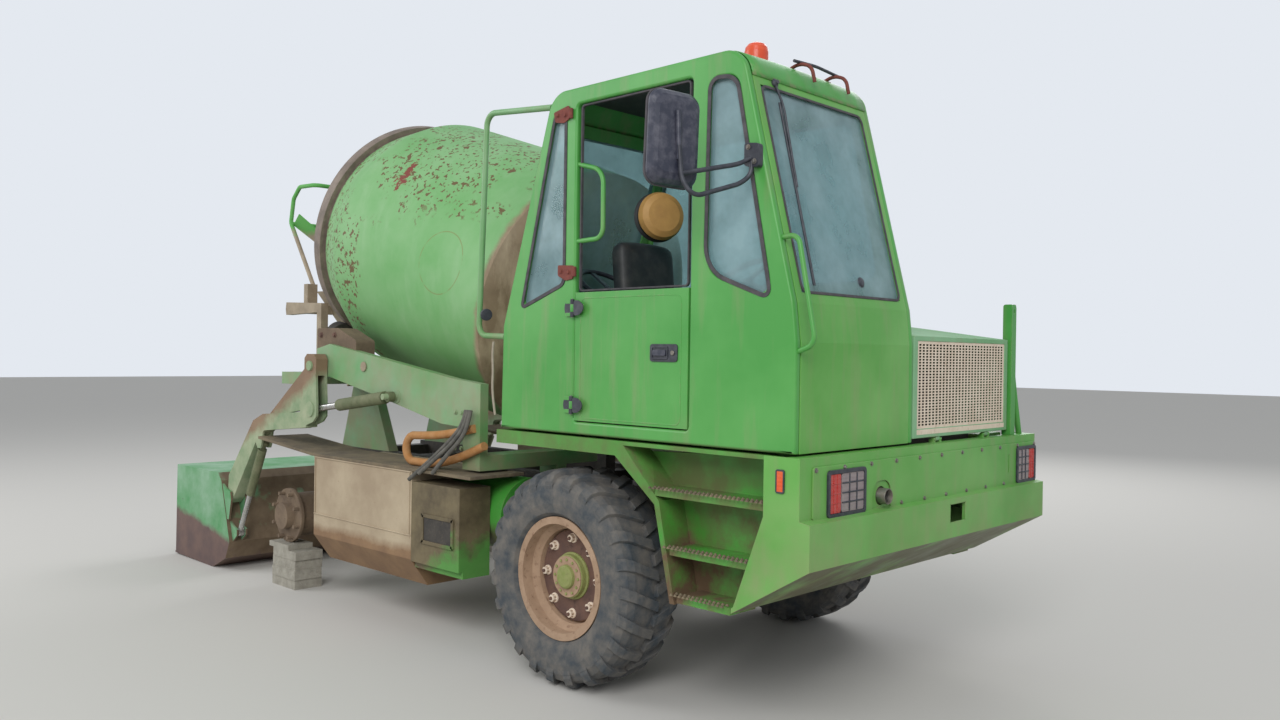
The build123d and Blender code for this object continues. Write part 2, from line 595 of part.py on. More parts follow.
def front_end():
    profile = [(CAB_FRONT - 30, 1355), (PANEL_X, 1355), (PANEL_X, BUMPER_Z1 + 10), (BUMPER_FRONT, BUMPER_Z1),
               (BUMPER_FRONT, BUMPER_Z0), (BELLY_X, BELLY_Z), (BELLY_X, BELLY_Z + SHEET + 5),
               (BUMPER_FRONT - SHEET, BUMPER_Z0 + SHEET), (BUMPER_FRONT - SHEET, BUMPER_Z1 - SHEET),
               (PANEL_X - SHEET, BUMPER_Z1 - SHEET), (PANEL_X - SHEET, 1355 - SHEET), (CAB_FRONT - 30, 1355 - SHEET)]
    face = side_plate(profile, -HALF_W, HALF_W)
    end = [(CAB_FRONT - 140, 1355), (PANEL_X, 1355), (PANEL_X, BUMPER_Z1), (BUMPER_FRONT, BUMPER_Z1),
           (BUMPER_FRONT, BUMPER_Z0), (BELLY_X, BELLY_Z), (CAB_FRONT - 140, 1085)]
    face += side_plate(end, -HALF_W, -HALF_W + SHEET)
    face += side_plate(end, HALF_W - SHEET, HALF_W)
    lamps = []
    for y0, y1 in ((LAMP_IN - HALF_W, LAMP_IN - HALF_W + LAMP_NEAR_W), (HALF_W - 25 - LAMP_FAR_W, HALF_W - 25)):
        face -= block(PANEL_X - SHEET - 5, PANEL_X + 5, y0, y1, LAMP_Z0, LAMP_Z1)
        lamps.append(block(PANEL_X - 60, PANEL_X - 4, y0 + SEAT_GAP, y1 - SEAT_GAP,
                           LAMP_Z0 + SEAT_GAP, LAMP_Z1 - SEAT_GAP))
    face -= block(BUMPER_FRONT - SHEET - 5, BUMPER_FRONT + 5, 50, 220, 950, 1075 - SHEET - 5)
    for y in (-RAIL_Y, RAIL_Y):
        face += block(RAIL_FRONT + 0.3, BUMPER_FRONT - SHEET, y - 45, y + 45, 890, 990)
    PARTS["lamps"] = Compound(lamps)
    for y in HOOD_HINGES:
        # Two lugs each side of the hood's knuckle, and the pin through them
        for low in (y - 41, y + 21):
            face += block(HOOD_PIVOT_X - 20, HOOD_PIVOT_X + 9, low, low + 20, 1350, HOOD_PIVOT_Z)
            face += cross_rod(HOOD_PIVOT_X, HOOD_PIVOT_Z, low, low + 20, 11)
        face += cross_rod(HOOD_PIVOT_X, HOOD_PIVOT_Z, y - 41, y + 41, HOOD_PIN_R)
    start = (PANEL_X - 60, EXHAUST_Y, EXHAUST_Z)
    PARTS["front_bumper"] = face - rod(start, (PANEL_X + 20, EXHAUST_Y, EXHAUST_Z), EXHAUST_R + 7)
    PARTS["exhaust_tip"] = pipe((EXHAUST_X - 60, EXHAUST_Y, EXHAUST_Z), (BUMPER_FRONT - 10, EXHAUST_Y, EXHAUST_Z),
                                EXHAUST_R, EXHAUST_R - 5)


def skirt(sign):
    out = HALF_W - 30
    deck = block(FENDER_REAR, CAB_FRONT - 145, SKIRT_IN, out, FENDER_Z - SHEET, FENDER_Z - 0.3)
    arch = [(FENDER_REAR, FENDER_Z - 0.5), (ARCH_TOP_X + 40, FENDER_Z - 0.5), (ARCH_MID[0] + 30, ARCH_MID[1] + 20),
            (ARCH_LOW[0] + 30, ARCH_LOW[1]), ARCH_LOW, ARCH_MID, (ARCH_TOP_X, FENDER_Z - 75),
            (FENDER_REAR, FENDER_Z - 75)]
    flange = side_plate(arch, out - 180, out)
    liner = [(ARCH_TOP_X + 20, FENDER_Z - 60), (ARCH_MID[0] + 20, ARCH_MID[1] + 10), (ARCH_LOW[0] + 20, ARCH_LOW[1]),
             (BELLY_X - 30, ARCH_LOW[1] + 28), (CAB_FRONT - 150, 1080), (CAB_FRONT - 150, FENDER_Z - SHEET)]
    back = side_plate(liner, out - 200, out - 180)
    steps = []
    for z, x0, x1 in zip(STEP_Z, STEP_X0, STEP_X1):
        steps.append(block(x0 + 30, x1, out - 190, out, z - STEP_T, z))
    whole = joined([deck, flange, back] + steps)
    return whole if sign > 0 else mirror_y(whole)


def tanks():
    side = [(-TANK_OUT, TANK_Z1), (-TANK_OUT, TANK_Z0 + 180), (-TANK_OUT + 130, TANK_Z0), (-TANK_IN, TANK_Z0),
            (-TANK_IN, TANK_Z1)]
    PARTS["water_tank"] = front_plate(side, TANK_X0, TANK_X1)
    box_in = -OIL_Y - OIL_R - SEAT_GAP
    box_side = [(-TANK_OUT, TANK_Z1 - 60), (-TANK_OUT, 480), (-TANK_OUT + 30, 480), (-TANK_OUT + 30, 440),
                (box_in, 440), (box_in, TANK_Z1 - 60)]
    PARTS["battery_box"] = front_plate(box_side, TANK_X1 + SEAT_GAP, BOX_X1 - 100)
    PARTS["oil_tank"] = rod((TANK_X1 + SEAT_GAP, -OIL_Y, OIL_Z), (BOX_X1, -OIL_Y, OIL_Z), OIL_R)
    far = [(-y, z) for y, z in side]
    PARTS["far_side_tank"] = front_plate(far, TANK_X0, BOX_X1)
    guards = []
    for sign in (-1, 1):
        plate = side_plate([(TANK_X0 - 30, TANK_Z1 + 0.3), (BOX_X1, TANK_Z1 + 0.3), (BOX_X1, TANK_Z1 + 20),
                            (TANK_X0 - 40, TANK_Z1 + 20), (-3425, 1125), (-3425, 1105)], 790, HALF_W)
        guards.append(plate if sign > 0 else mirror_y(plate))
    PARTS["mudguards"] = Compound(guards)


def drum_axis_point(s):
    a = radians(TILT)
    return Vector(DRUM_X - s * cos(a), 0, DRUM_Z + s * sin(a))


def along_drum(shape):
    """Place a shape made along +Z on the drum's axis, with its start at the closed end."""
    a = radians(TILT)
    plane = Plane(origin=(DRUM_X, 0, DRUM_Z), x_dir=(0, 1, 0), z_dir=(-cos(a), 0, sin(a)))
    return plane * shape


def drum():
    outer = [(0, 0), (END_R, 0), (SHOULDER_R, SHOULDER_S), (MID_R, MID_S), (BELLY_R, BELLY_S), (RING_R, RING_S),
             (RING_R, RING_S + RING_W), (MOUTH_R, MOUTH_S)]
    inner = [(r - DRUM_WALL, s) for r, s in reversed(outer[1:])]
    inner[0] = (MOUTH_R - DRUM_WALL, MOUTH_S)
    inner[-1] = (END_R - DRUM_WALL, DRUM_WALL)
    profile = outer + inner + [(0, DRUM_WALL)]
    face = Plane.XZ * outline(profile)
    shell = revolve(face, axis=Axis.Z)
    band = Plane.XZ * outline([(RING_R - 5, RING_S), (RING_R + RING_H, RING_S), (RING_R + RING_H, RING_S + RING_W),
                               (RING_R - 5, RING_S + RING_W)])
    shell += revolve(band, axis=Axis.Z)
    PARTS["drum"] = along_drum(shell)
    drive = extrude(Plane.XY.offset(-0.3) * Circle(DRIVE_R), -150)
    drive += extrude(Plane.XY.offset(-150) * Circle(90), -70)
    PARTS["drum_drive"] = along_drum(drive)
    reach = RING_R + RING_H + ROLLER_GAP + ROLLER_R
    for side, sign in (("near", -1), ("far", 1)):
        a = radians(ROLLER_ANGLE)
        spot = Pos(sign * reach * sin(a), reach * cos(a), RING_S + RING_W / 2)
        roller = spot * Cylinder(ROLLER_R, ROLLER_W) - spot * Cylinder(30.05, ROLLER_W + 10)
        PARTS["roller_" + side] = along_drum(roller)


def roller_point(sign, s):
    reach = RING_R + RING_H + ROLLER_GAP + ROLLER_R
    a = radians(ROLLER_ANGLE)
    t = radians(TILT)
    down = reach * cos(a)
    base = drum_axis_point(s)
    return (base.X - down * sin(t), sign * reach * sin(a), base.Z - down * cos(t))


def cradle():
    """Two side beams that rise towards the bucket, a foot under the drive and a bridge with the rollers."""
    beam = [(BEAM_X0 - 180, 1800), (BEAM_X0, 1835), (BEAM_X1, 1625), (FOOT_X1, 1600), (FOOT_X1, FOOT_Z0),
            (FOOT_X0, FOOT_Z0), (FOOT_X0, 1330), (BEAM_X1 - 120, 1340), (-1900, 1470), (BEAM_X0, 1600),
            (BRIDGE_X1, BRIDGE_Z0), (BRIDGE_X0, BRIDGE_Z0), (BRIDGE_X0, BRIDGE_Z1), (BEAM_X0 - 180, BRIDGE_Z1)]
    pieces = []
    a = radians(TILT)
    pin_out = ARM_Y + ARM_W / 2 + 14
    for sign in (-1, 1):
        y0, y1 = sorted((sign * BEAM_Y0, sign * BEAM_Y1))
        pieces.append(side_plate(beam, y0, y1))
        y = sign * RAIL_Y
        pieces.append(block(FOOT_X0, FOOT_X1, y - 40, y + 40, RAIL_TOP + 0.3, FOOT_Z0))
        leg = [(-3500, RAIL_TOP + 0.3), (-2800, RAIL_TOP + 0.3), (BRIDGE_X1, BRIDGE_Z0), (BRIDGE_X0, BRIDGE_Z0)]
        pieces.append(side_plate(leg, y - 40, y + 40))
        pieces.append(rod(roller_point(sign, RING_S - 34), roller_point(sign, RING_S + RING_W + 34), 30))
        for s in (RING_S - 34, RING_S + RING_W + 14):
            x, y, z = roller_point(sign, s)
            foot = (z + 45 - BRIDGE_Z1 + 20) / cos(a)
            plane = Plane(origin=(x, y, z), x_dir=(0, 1, 0), z_dir=(-cos(a), 0, sin(a)))
            plate = Pos(0, foot / 2 - 45, 10) * Box(100, foot, 20)
            pieces.append(plane * plate)
        for x, z, r in ((LIFT_X, LIFT_Z, ARM_PIN_R), (LIFT_BASE_X, LIFT_BASE_Z, CYL_PIN_R)):
            # A boss on the beam and the pin that carries the arm or the lift cylinder
            y0, y1 = sorted((sign * BEAM_Y1, sign * (ARM_Y - ARM_W / 2 - SEAT_GAP)))
            pieces.append(cross_rod(x, z, y0, y1, r + 25))
            y0, y1 = sorted((sign * BEAM_Y0, sign * pin_out))
            pieces.append(cross_rod(x, z, y0, y1, r))
    pieces.append(block(BRIDGE_X0, BRIDGE_X1, -BEAM_Y0, BEAM_Y0, BRIDGE_Z0, BRIDGE_Z1))
    pieces.append(block(FOOT_X0, FOOT_X1, -BEAM_Y0, BEAM_Y0, FOOT_Z0, FOOT_Z1))
    plane = Plane(origin=drum_axis_point(-90), x_dir=(0, 1, 0), z_dir=(-cos(a), 0, sin(a)))
    drop = (drum_axis_point(-90).Z - FOOT_Z1 + 20) / cos(a)
    flange = Pos(0, drop / 2 - 85, 0) * Box(340, drop + 170, 24) - Cylinder(DRIVE_R + SEAT_GAP, 60)
    pieces.append(plane * flange)
    # The bracket and the upright pin that the discharge chute swings on
    pieces.append(block(CHUTE_X - 70, BRIDGE_X0 + 5, -70, 70, BRIDGE_Z0, BRIDGE_Z0 + 70))
    pieces.append(rod((CHUTE_X, 0, BRIDGE_Z0), (CHUTE_X, 0, BRIDGE_Z0 + 180), CHUTE_PIN_R))
    PARTS["drum_cradle"] = joined(pieces)


def arm_outline():
    """The crank from the upper pivot down to the lift cylinder's boss, and the bent boom, as two outlines."""
    crank = [(LIFT_X - 85, LIFT_Z + 55), (LIFT_X - 50, LIFT_Z + 85), (LIFT_X + 50, LIFT_Z + 85),
             (LIFT_X + 85, LIFT_Z + 50), (LIFT_X + 80, LIFT_Z - 70), (BOSS_X + 85, BOSS_Z + 60),
             (BOSS_X + 85, BOSS_Z - 50), (BOSS_X + 40, BOSS_Z - 90), (BOOM_X, BOOM_Z0), (BOOM_X, BOOM_Z1),
             (BOSS_X - 110, BOSS_Z + 60), (LIFT_X - 85, LIFT_Z - 70)]
    boom = [(BOSS_X - 60, BOOM_Z0 + 12), (BOSS_X - 60, BOOM_Z1), (KNEE_X + 160, KNEE_Z + 68),
            (KNEE_X, KNEE_Z + 10), (TILT_PIN_X - 36, TILT_PIN_Z + 170), (TILT_PIN_X - 48, TILT_PIN_Z - 20),
            (TILT_PIN_X, TILT_PIN_Z - 50), (TILT_PIN_X + 48, TILT_PIN_Z - 10), (KNEE_X + 80, KNEE_Z - 115),
            (KNEE_X + 190, KNEE_Z - 57)]
    return crank, boom


def arms():
    crank, boom = arm_outline()
    half = ARM_W / 2
    pair = []
    for sign in (-1, 1):
        y0, y1 = sorted((sign * (ARM_Y - half), sign * (ARM_Y + half)))
        mid = sign * ARM_Y
        arm = side_plate(crank, y0, y1) + side_plate(boom, y0, y1)
        # A gusset fills the corner between the crank and the boom
        gusset = [(LIFT_X - 60, LIFT_Z + 30), (LIFT_X - 60, BOSS_Z), (KNEE_X + 170, KNEE_Z + 40)]
        arm += side_plate(gusset, mid - GUSSET_T / 2, mid + GUSSET_T / 2)
        # The lift cylinder's rod works in a slot between the crank's two cheeks
        arm -= block(BOSS_X - 62, BOSS_X + 200, mid - CYL_SLOT / 2, mid + CYL_SLOT / 2,
                     BOSS_Z - 200, LIFT_Z - ARM_PIN_R - 35)
        arm += cross_rod(BOSS_X, BOSS_Z, *sorted((sign * (ARM_Y + half), sign * (ARM_Y + half + 10))), 55)
        # Two ears under the knee carry the tilt cylinder
        ear = [(TILT_BASE_X - 45, TILT_BASE_Z - 10), (TILT_BASE_X - 20, TILT_BASE_Z - 40),
               (TILT_BASE_X + 25, TILT_BASE_Z - 38), (TILT_BASE_X + 45, TILT_BASE_Z),
               (TILT_BASE_X + 70, KNEE_Z - 40), (TILT_BASE_X - 90, KNEE_Z - 60)]
        for y in (mid - half, mid + half - EAR_T):
            arm += side_plate(ear, y, y + EAR_T)
        arm += cross_rod(TILT_BASE_X, TILT_BASE_Z, mid - half + 2, mid + half - 2, CYL_PIN_R)
        for x, z in ((LIFT_X, LIFT_Z), (TILT_PIN_X, TILT_PIN_Z)):
            arm -= cross_rod(x, z, y0 - 5, y1 + 5, ARM_PIN_R + PIN_GAP)
        pair.append(arm)
    PARTS["loader_arms"] = Compound(pair)


def cylinder(base, end, y, radius, rod_radius, barrel_length):
    """Barrel and rod of one cylinder in the plane of an arm, each with its eye."""
    start = Vector(base[0], y, base[1])
    way = Vector(end[0], y, end[1]) - start
    unit = way.normalized()
    eye = CYL_PIN_R + 14
    low, high = y - CYL_EYE_W / 2, y + CYL_EYE_W / 2
    barrel = rod(start + unit * 60, start + unit * barrel_length, radius)
    barrel += rod(start + unit * (eye - 8), start + unit * 62, CYL_EYE_W / 2 - 1)
    barrel += cross_rod(base[0], base[1], low, high, eye)
    barrel -= cross_rod(base[0], base[1], low - 20, high + 20, CYL_PIN_R + PIN_GAP)
    barrel -= rod(start + unit * 100, start + unit * (barrel_length + 5), rod_radius + PIN_GAP)
    gland = barrel_length - 120
    stem = rod(start + unit * gland, start + unit * (way.length - eye + 8), rod_radius)
    stem += cross_rod(end[0], end[1], low, high, eye)
    stem -= cross_rod(end[0], end[1], low - 20, high + 20, eye - 16)
    return barrel, stem


def cylinders():
    lift = []
    tilt = []
    for sign in (-1, 1):
        y = sign * ARM_Y
        lift.append(cylinder((LIFT_BASE_X, LIFT_BASE_Z), (BOSS_X, BOSS_Z), y, LIFT_BARREL_R, LIFT_ROD_R,
                             LIFT_BARREL))
        tilt.append(cylinder((TILT_BASE_X, TILT_BASE_Z), (TILT_END_X, TILT_END_Z), y, TILT_BARREL_R,
                             TILT_ROD_R, TILT_BARREL))
    PARTS["lift_barrels"] = Compound([pair[0] for pair in lift])
    PARTS["lift_rods"] = Compound([pair[1] for pair in lift])
    PARTS["tilt_barrels"] = Compound([pair[0] for pair in tilt])
    PARTS["tilt_rods"] = Compound([pair[1] for pair in tilt])


def bucket():
    wall = BUCKET_PLATE
    half = ARM_W / 2
    line = [(BUCKET_LIP_X, 12), (-4230, 0), (-4000, 100), (-3930, 240), (-4090, BUCKET_TOP - 60),
            (-4150, BUCKET_TOP), (-4960, BUCKET_TOP)]
    inner = [(-4960, BUCKET_TOP - wall), (-4158, BUCKET_TOP - wall), (-4105, BUCKET_TOP - 66), (-3948, 240),
             (-4014, 114), (-4233, wall), (BUCKET_LIP_X, 12 + wall)]
    shell = side_plate(line + inner, -BUCKET_HALF, BUCKET_HALF)
    cheek = [(BUCKET_LIP_X + 10, 20), (-4230, 2), (-4000, 102), (-3932, 240), (-4092, BUCKET_TOP - 60),
             (-4152, BUCKET_TOP - 2), (-4960, BUCKET_TOP - 2)]
    for sign in (-1, 1):
        y0, y1 = sorted((sign * (BUCKET_HALF - wall), sign * BUCKET_HALF))
        shell += side_plate(cheek, y0, y1)
        ear = [(-4090, 700), (TILT_PIN_X - 20, TILT_PIN_Z + 58), (TILT_PIN_X + 40, TILT_PIN_Z + 45),
               (TILT_PIN_X + 58, TILT_PIN_Z - 15), (-3960, 420), (-4005, 420)]
        for y in (ARM_Y - half - EAR_GAP - EAR_T, ARM_Y + half + EAR_GAP):
            y0, y1 = sorted((sign * y, sign * (y + EAR_T)))
            shell += side_plate(ear, y0, y1)
        y0, y1 = sorted((sign * (ARM_Y - half - EAR_GAP - EAR_T), sign * (ARM_Y + half + EAR_GAP + EAR_T)))
        shell += cross_rod(TILT_PIN_X, TILT_PIN_Z, y0, y1, ARM_PIN_R)
        low_ear = [(-3985, 400), (TILT_END_X - 10, TILT_END_Z + 42), (TILT_END_X + 35, TILT_END_Z + 25),
                   (TILT_END_X + 38, TILT_END_Z - 20), (-3930, 245), (-3945, 245)]
        for y in (ARM_Y - CYL_EYE_W / 2 - EAR_GAP - EAR_T, ARM_Y + CYL_EYE_W / 2 + EAR_GAP):
            y0, y1 = sorted((sign * y, sign * (y + EAR_T)))
            shell += side_plate(low_ear, y0, y1)
    PARTS["bucket"] = shell


def slope_plane(x, z, run_x, run_z):
    """A plane across the hopper's trough, looking up its slope."""
    return Plane(origin=(x, 0, z), x_dir=(0, 1, 0), z_dir=(run_x, 0, run_z))


def hopper():
    run_x = HOPPER_HIGH[0] - HOPPER_LOW[0]
    run_z = HOPPER_HIGH[1] - HOPPER_LOW[1]
    outer = []
    inner = []
    for (x, z), half, deep in ((HOPPER_LOW, HOPPER_HALF_LOW, 90), (HOPPER_HIGH, HOPPER_HALF, 130)):
        plane = slope_plane(x, z, run_x, run_z)
        outer.append(plane * (Pos(0, -deep / 2) * Rectangle(2 * half, deep)))
        inner.append(plane * (Pos(0, -deep / 2 - HOPPER_T) * Rectangle(2 * half - 2 * HOPPER_T, deep)))
    pieces = [loft(outer) - loft(inner)]
    top = []
    side = HOPPER_HALF + TUBE_R
    for x, z in ((-3690, 2290), (-4108, 2870), (-4065, 3069), (-3960, 3160), (-3700, 3150)):
        top.append((x, -side, z))
    back = [(x, -y, z) for x, y, z in reversed(top)]
    pieces.append(bent_tube(top + back, TUBE_R, 60))
    pieces.append(cross_rod(-4100, 2862, -side, side, TUBE_R))
    for sign in (-1, 1):
        y0, y1 = sorted((sign * HOPPER_BEAM_Y, sign * (HOPPER_BEAM_Y + 60)))
        pieces.append(side_plate([(-3990, 2130), (-3980, 2185), (-3400, 2165), (-3400, 2095), (-3980, 2080)], y0, y1))
        face = BRIDGE_X0 - SEAT_GAP
        pieces.append(side_plate([(face, BRIDGE_Z0), (face, BRIDGE_Z1), (-3400, 1700), (-3400, 2150),
                                  (-3470, 2150), (-3470, 1640), (-3400, BRIDGE_Z0)], y0, y1))
        y0, y1 = sorted((sign * (side - 20), sign * (HOPPER_BEAM_Y + 30)))
        pieces.append(block(-3740, -3680, y0, y1, 2110, 2330))
    pieces.append(block(-3985, -3890, -HOPPER_BEAM_Y, HOPPER_BEAM_Y, 2095, 2165))
    funnel_out = []
    funnel_in = []
    for z, x0, x1, half in ((FUNNEL_Z1, -3990, -3790, 420), (FUNNEL_Z0, -3800, -3580, 150)):
        sketch = Pos((x0 + x1) / 2, 0, z) * Rectangle(x1 - x0, 2 * half)
        hole = Pos((x0 + x1) / 2, 0, z) * Rectangle(x1 - x0 - 2 * HOPPER_T, 2 * half - 2 * HOPPER_T)
        funnel_out.append(sketch)
        funnel_in.append(hole)
    pieces.append(loft(funnel_out))
    whole = joined(pieces)
    PARTS["hopper"] = whole - loft(funnel_in)
    top = CHUTE_X - 95
    trough = [(top, 1690), (top, 1780), (top - 310, 1570), (top - 295, 1480)]
    chute = side_plate(trough, -CHUTE_HALF, CHUTE_HALF)
    cut = [(top + 10, 1702), (top + 10, 1800), (top - 330, 1590), (top - 320, 1478)]
    chute -= side_plate(cut, -CHUTE_HALF + 10, CHUTE_HALF - 10)
    chute += block(CHUTE_X - 120, CHUTE_X, -40, 40, BRIDGE_Z0 + 85, BRIDGE_Z0 + 150)
    chute += rod((CHUTE_X, 0, BRIDGE_Z0 + 70.3), (CHUTE_X, 0, BRIDGE_Z0 + 165), CHUTE_PIN_R + 25)
    chute -= rod((CHUTE_X, 0, BRIDGE_Z0), (CHUTE_X, 0, BRIDGE_Z0 + 190), CHUTE_PIN_R + PIN_GAP)
    PARTS["chute"] = chute


def fittings():
    arm_y = CAB_NEAR - SEAT_GAP
    plate = Pos(1080, -MIRROR_REACH + MIRROR_W / 2, 2735) * Box(45, MIRROR_W, MIRROR_H)
    bracket = block(1240, 1340, arm_y - 30, arm_y, 2640, 2740)
    stay = rod((1290, arm_y - 20, 2700), (1090, -MIRROR_REACH + MIRROR_W / 2, 2640), 14)
    stay += rod((1290, arm_y - 20, 2660), (1090, -MIRROR_REACH + MIRROR_W / 2, 2600), 14)
    PARTS["mirror"] = plate + bracket + stay
    PARTS["beacon"] = Pos(1000, -800, ROOF_Z + 20.3 + 60) * Cylinder(62, 120)
    guard_y = CAB_NEAR + CAB_WALL / 2
    tube = bent_tube([(ROOF_REAR + 60, guard_y, 3120), (-690, guard_y, 3180), (-745, guard_y, 1890),
                      (CAB_REAR + 60, guard_y, 1880)], TUBE_R, 70)
    PARTS["cab_guard_tube"] = tube - side_plate(cab_side_line(), CAB_NEAR - 10, CAB_NEAR + CAB_WALL + 10)


wheels()
axles()
block_stacks()
chassis()
cab()
inside()
hood()
front_end()
PARTS["near_skirt"] = skirt(-1)
PARTS["far_skirt"] = skirt(1)
tanks()
drum()
cradle()
arms()
cylinders()
bucket()
hopper()
fittings()

for name, shape in PARTS.items():
    placed = Pos(SHIFT_X, SHIFT_Y, 0) * shape
    export_step(placed, "parts/" + name + ".step")
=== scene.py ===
# %% [markdown]
# # Dressing a self-loading concrete mixer
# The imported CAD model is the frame: its pieces have their true size and place. This file gives
# them paint, rust, dust and glass, and adds what is too small or too soft-edged for the solids:
# window rubbers, tyre lugs, lamps, hoses, grab rails, splashed mortar and worn edges.

from math import cos, pi, radians, sin, tan

import bmesh
import bpy
from mathutils import Matrix, Vector


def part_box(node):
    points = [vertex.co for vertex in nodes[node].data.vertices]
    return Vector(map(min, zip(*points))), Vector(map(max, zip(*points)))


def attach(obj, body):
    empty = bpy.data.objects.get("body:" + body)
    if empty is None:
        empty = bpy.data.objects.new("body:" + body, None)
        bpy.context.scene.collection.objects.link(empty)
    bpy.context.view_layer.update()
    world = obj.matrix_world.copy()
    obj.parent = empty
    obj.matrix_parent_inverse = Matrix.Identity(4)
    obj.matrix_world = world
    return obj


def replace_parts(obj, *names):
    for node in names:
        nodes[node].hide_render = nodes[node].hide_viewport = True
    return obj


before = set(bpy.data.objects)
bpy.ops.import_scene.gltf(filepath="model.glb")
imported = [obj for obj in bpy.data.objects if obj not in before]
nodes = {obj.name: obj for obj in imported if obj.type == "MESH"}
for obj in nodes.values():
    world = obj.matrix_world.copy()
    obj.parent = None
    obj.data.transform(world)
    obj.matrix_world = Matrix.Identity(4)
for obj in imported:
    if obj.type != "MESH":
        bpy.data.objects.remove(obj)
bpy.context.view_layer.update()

# %% [markdown]
# ## One way to say where things are
# The machine was laid out in millimetres from the axle under the cab, its middle plane and the
# ground. Two pieces of the frame give those lines back, so every place below is written in the
# same numbers as the solids: x towards the cab's face, y away from the door, z up.

# %% Places in millimetres
rim_low, rim_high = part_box("rim_near")
bumper_low, bumper_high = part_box("front_bumper")
AXLE_X = (rim_low.x + rim_high.x) / 2
MIDDLE_Y = (bumper_low.y + bumper_high.y) / 2
MM = 0.001


def at(x, y, z):
    """A place in metres in the shared frame, from the machine's own millimetres."""
    return Vector((x * MM + AXLE_X, y * MM + MIDDLE_Y, z * MM))


def new_object(name, data):
    made = bpy.data.objects.new(name, data)
    bpy.context.scene.collection.objects.link(made)
    return made


print("axle at x =", round(AXLE_X, 4), "middle plane at y =", round(MIDDLE_Y, 4))

# %% [markdown]
# ## Camera
# The picture was taken at eye height from the door side, a little ahead of the cab, with a wide
# lens. The angles come from fitting parallel edges of the cab and the tank.

# %% Camera
EYE = (4114, -4828, 1791)
HEADING, PITCH, ROLL = 43.93, 0.31, 0.82
camera = new_object("camera", bpy.data.cameras.new("camera"))
camera.data.sensor_width = 36
camera.data.lens = 28.86
camera.data.clip_end = 200
view = Matrix.Translation(at(*EYE))
for angle, axis in ((HEADING, "Z"), (90 - PITCH, "X"), (ROLL, "Z")):
    view = view @ Matrix.Rotation(radians(angle), 4, axis)
camera.matrix_world = view
bpy.context.scene.camera = camera

# %% [markdown]
# ## Colour and nodes
# Colours are written as they look on a screen (sRGB hex) and turned to linear light once.
# Every material is a small network of nodes. One function adds a node, sets it and links it, and
# a coat holds the network while it grows, so each finish reads as a list of layers.

# %% Colour and node helpers
def colour(text):
    """An sRGB hex colour as linear red, green, blue and alpha."""
    out = []
    for i in (1, 3, 5):
        v = int(text[i:i + 2], 16) / 255
        out.append(v / 12.92 if v <= 0.04045 else ((v + 0.055) / 1.055) ** 2.4)
    return (*out, 1.0)


def feed(tree, socket, value):
    """Give a socket another node's output, a hex colour or a number."""
    if isinstance(value, bpy.types.NodeSocket):
        tree.links.new(value, socket)
    else:
        socket.default_value = colour(value) if isinstance(value, str) else value


def add(tree, kind, wires=None, **settings):
    """Add one node. Wires names its sockets, each with what it is fed."""
    made = tree.nodes.new("ShaderNode" + kind)
    for key, value in settings.items():
        setattr(made, key, value)
    for socket, value in (wires or {}).items():
        feed(tree, made.inputs[socket], value)
    return made


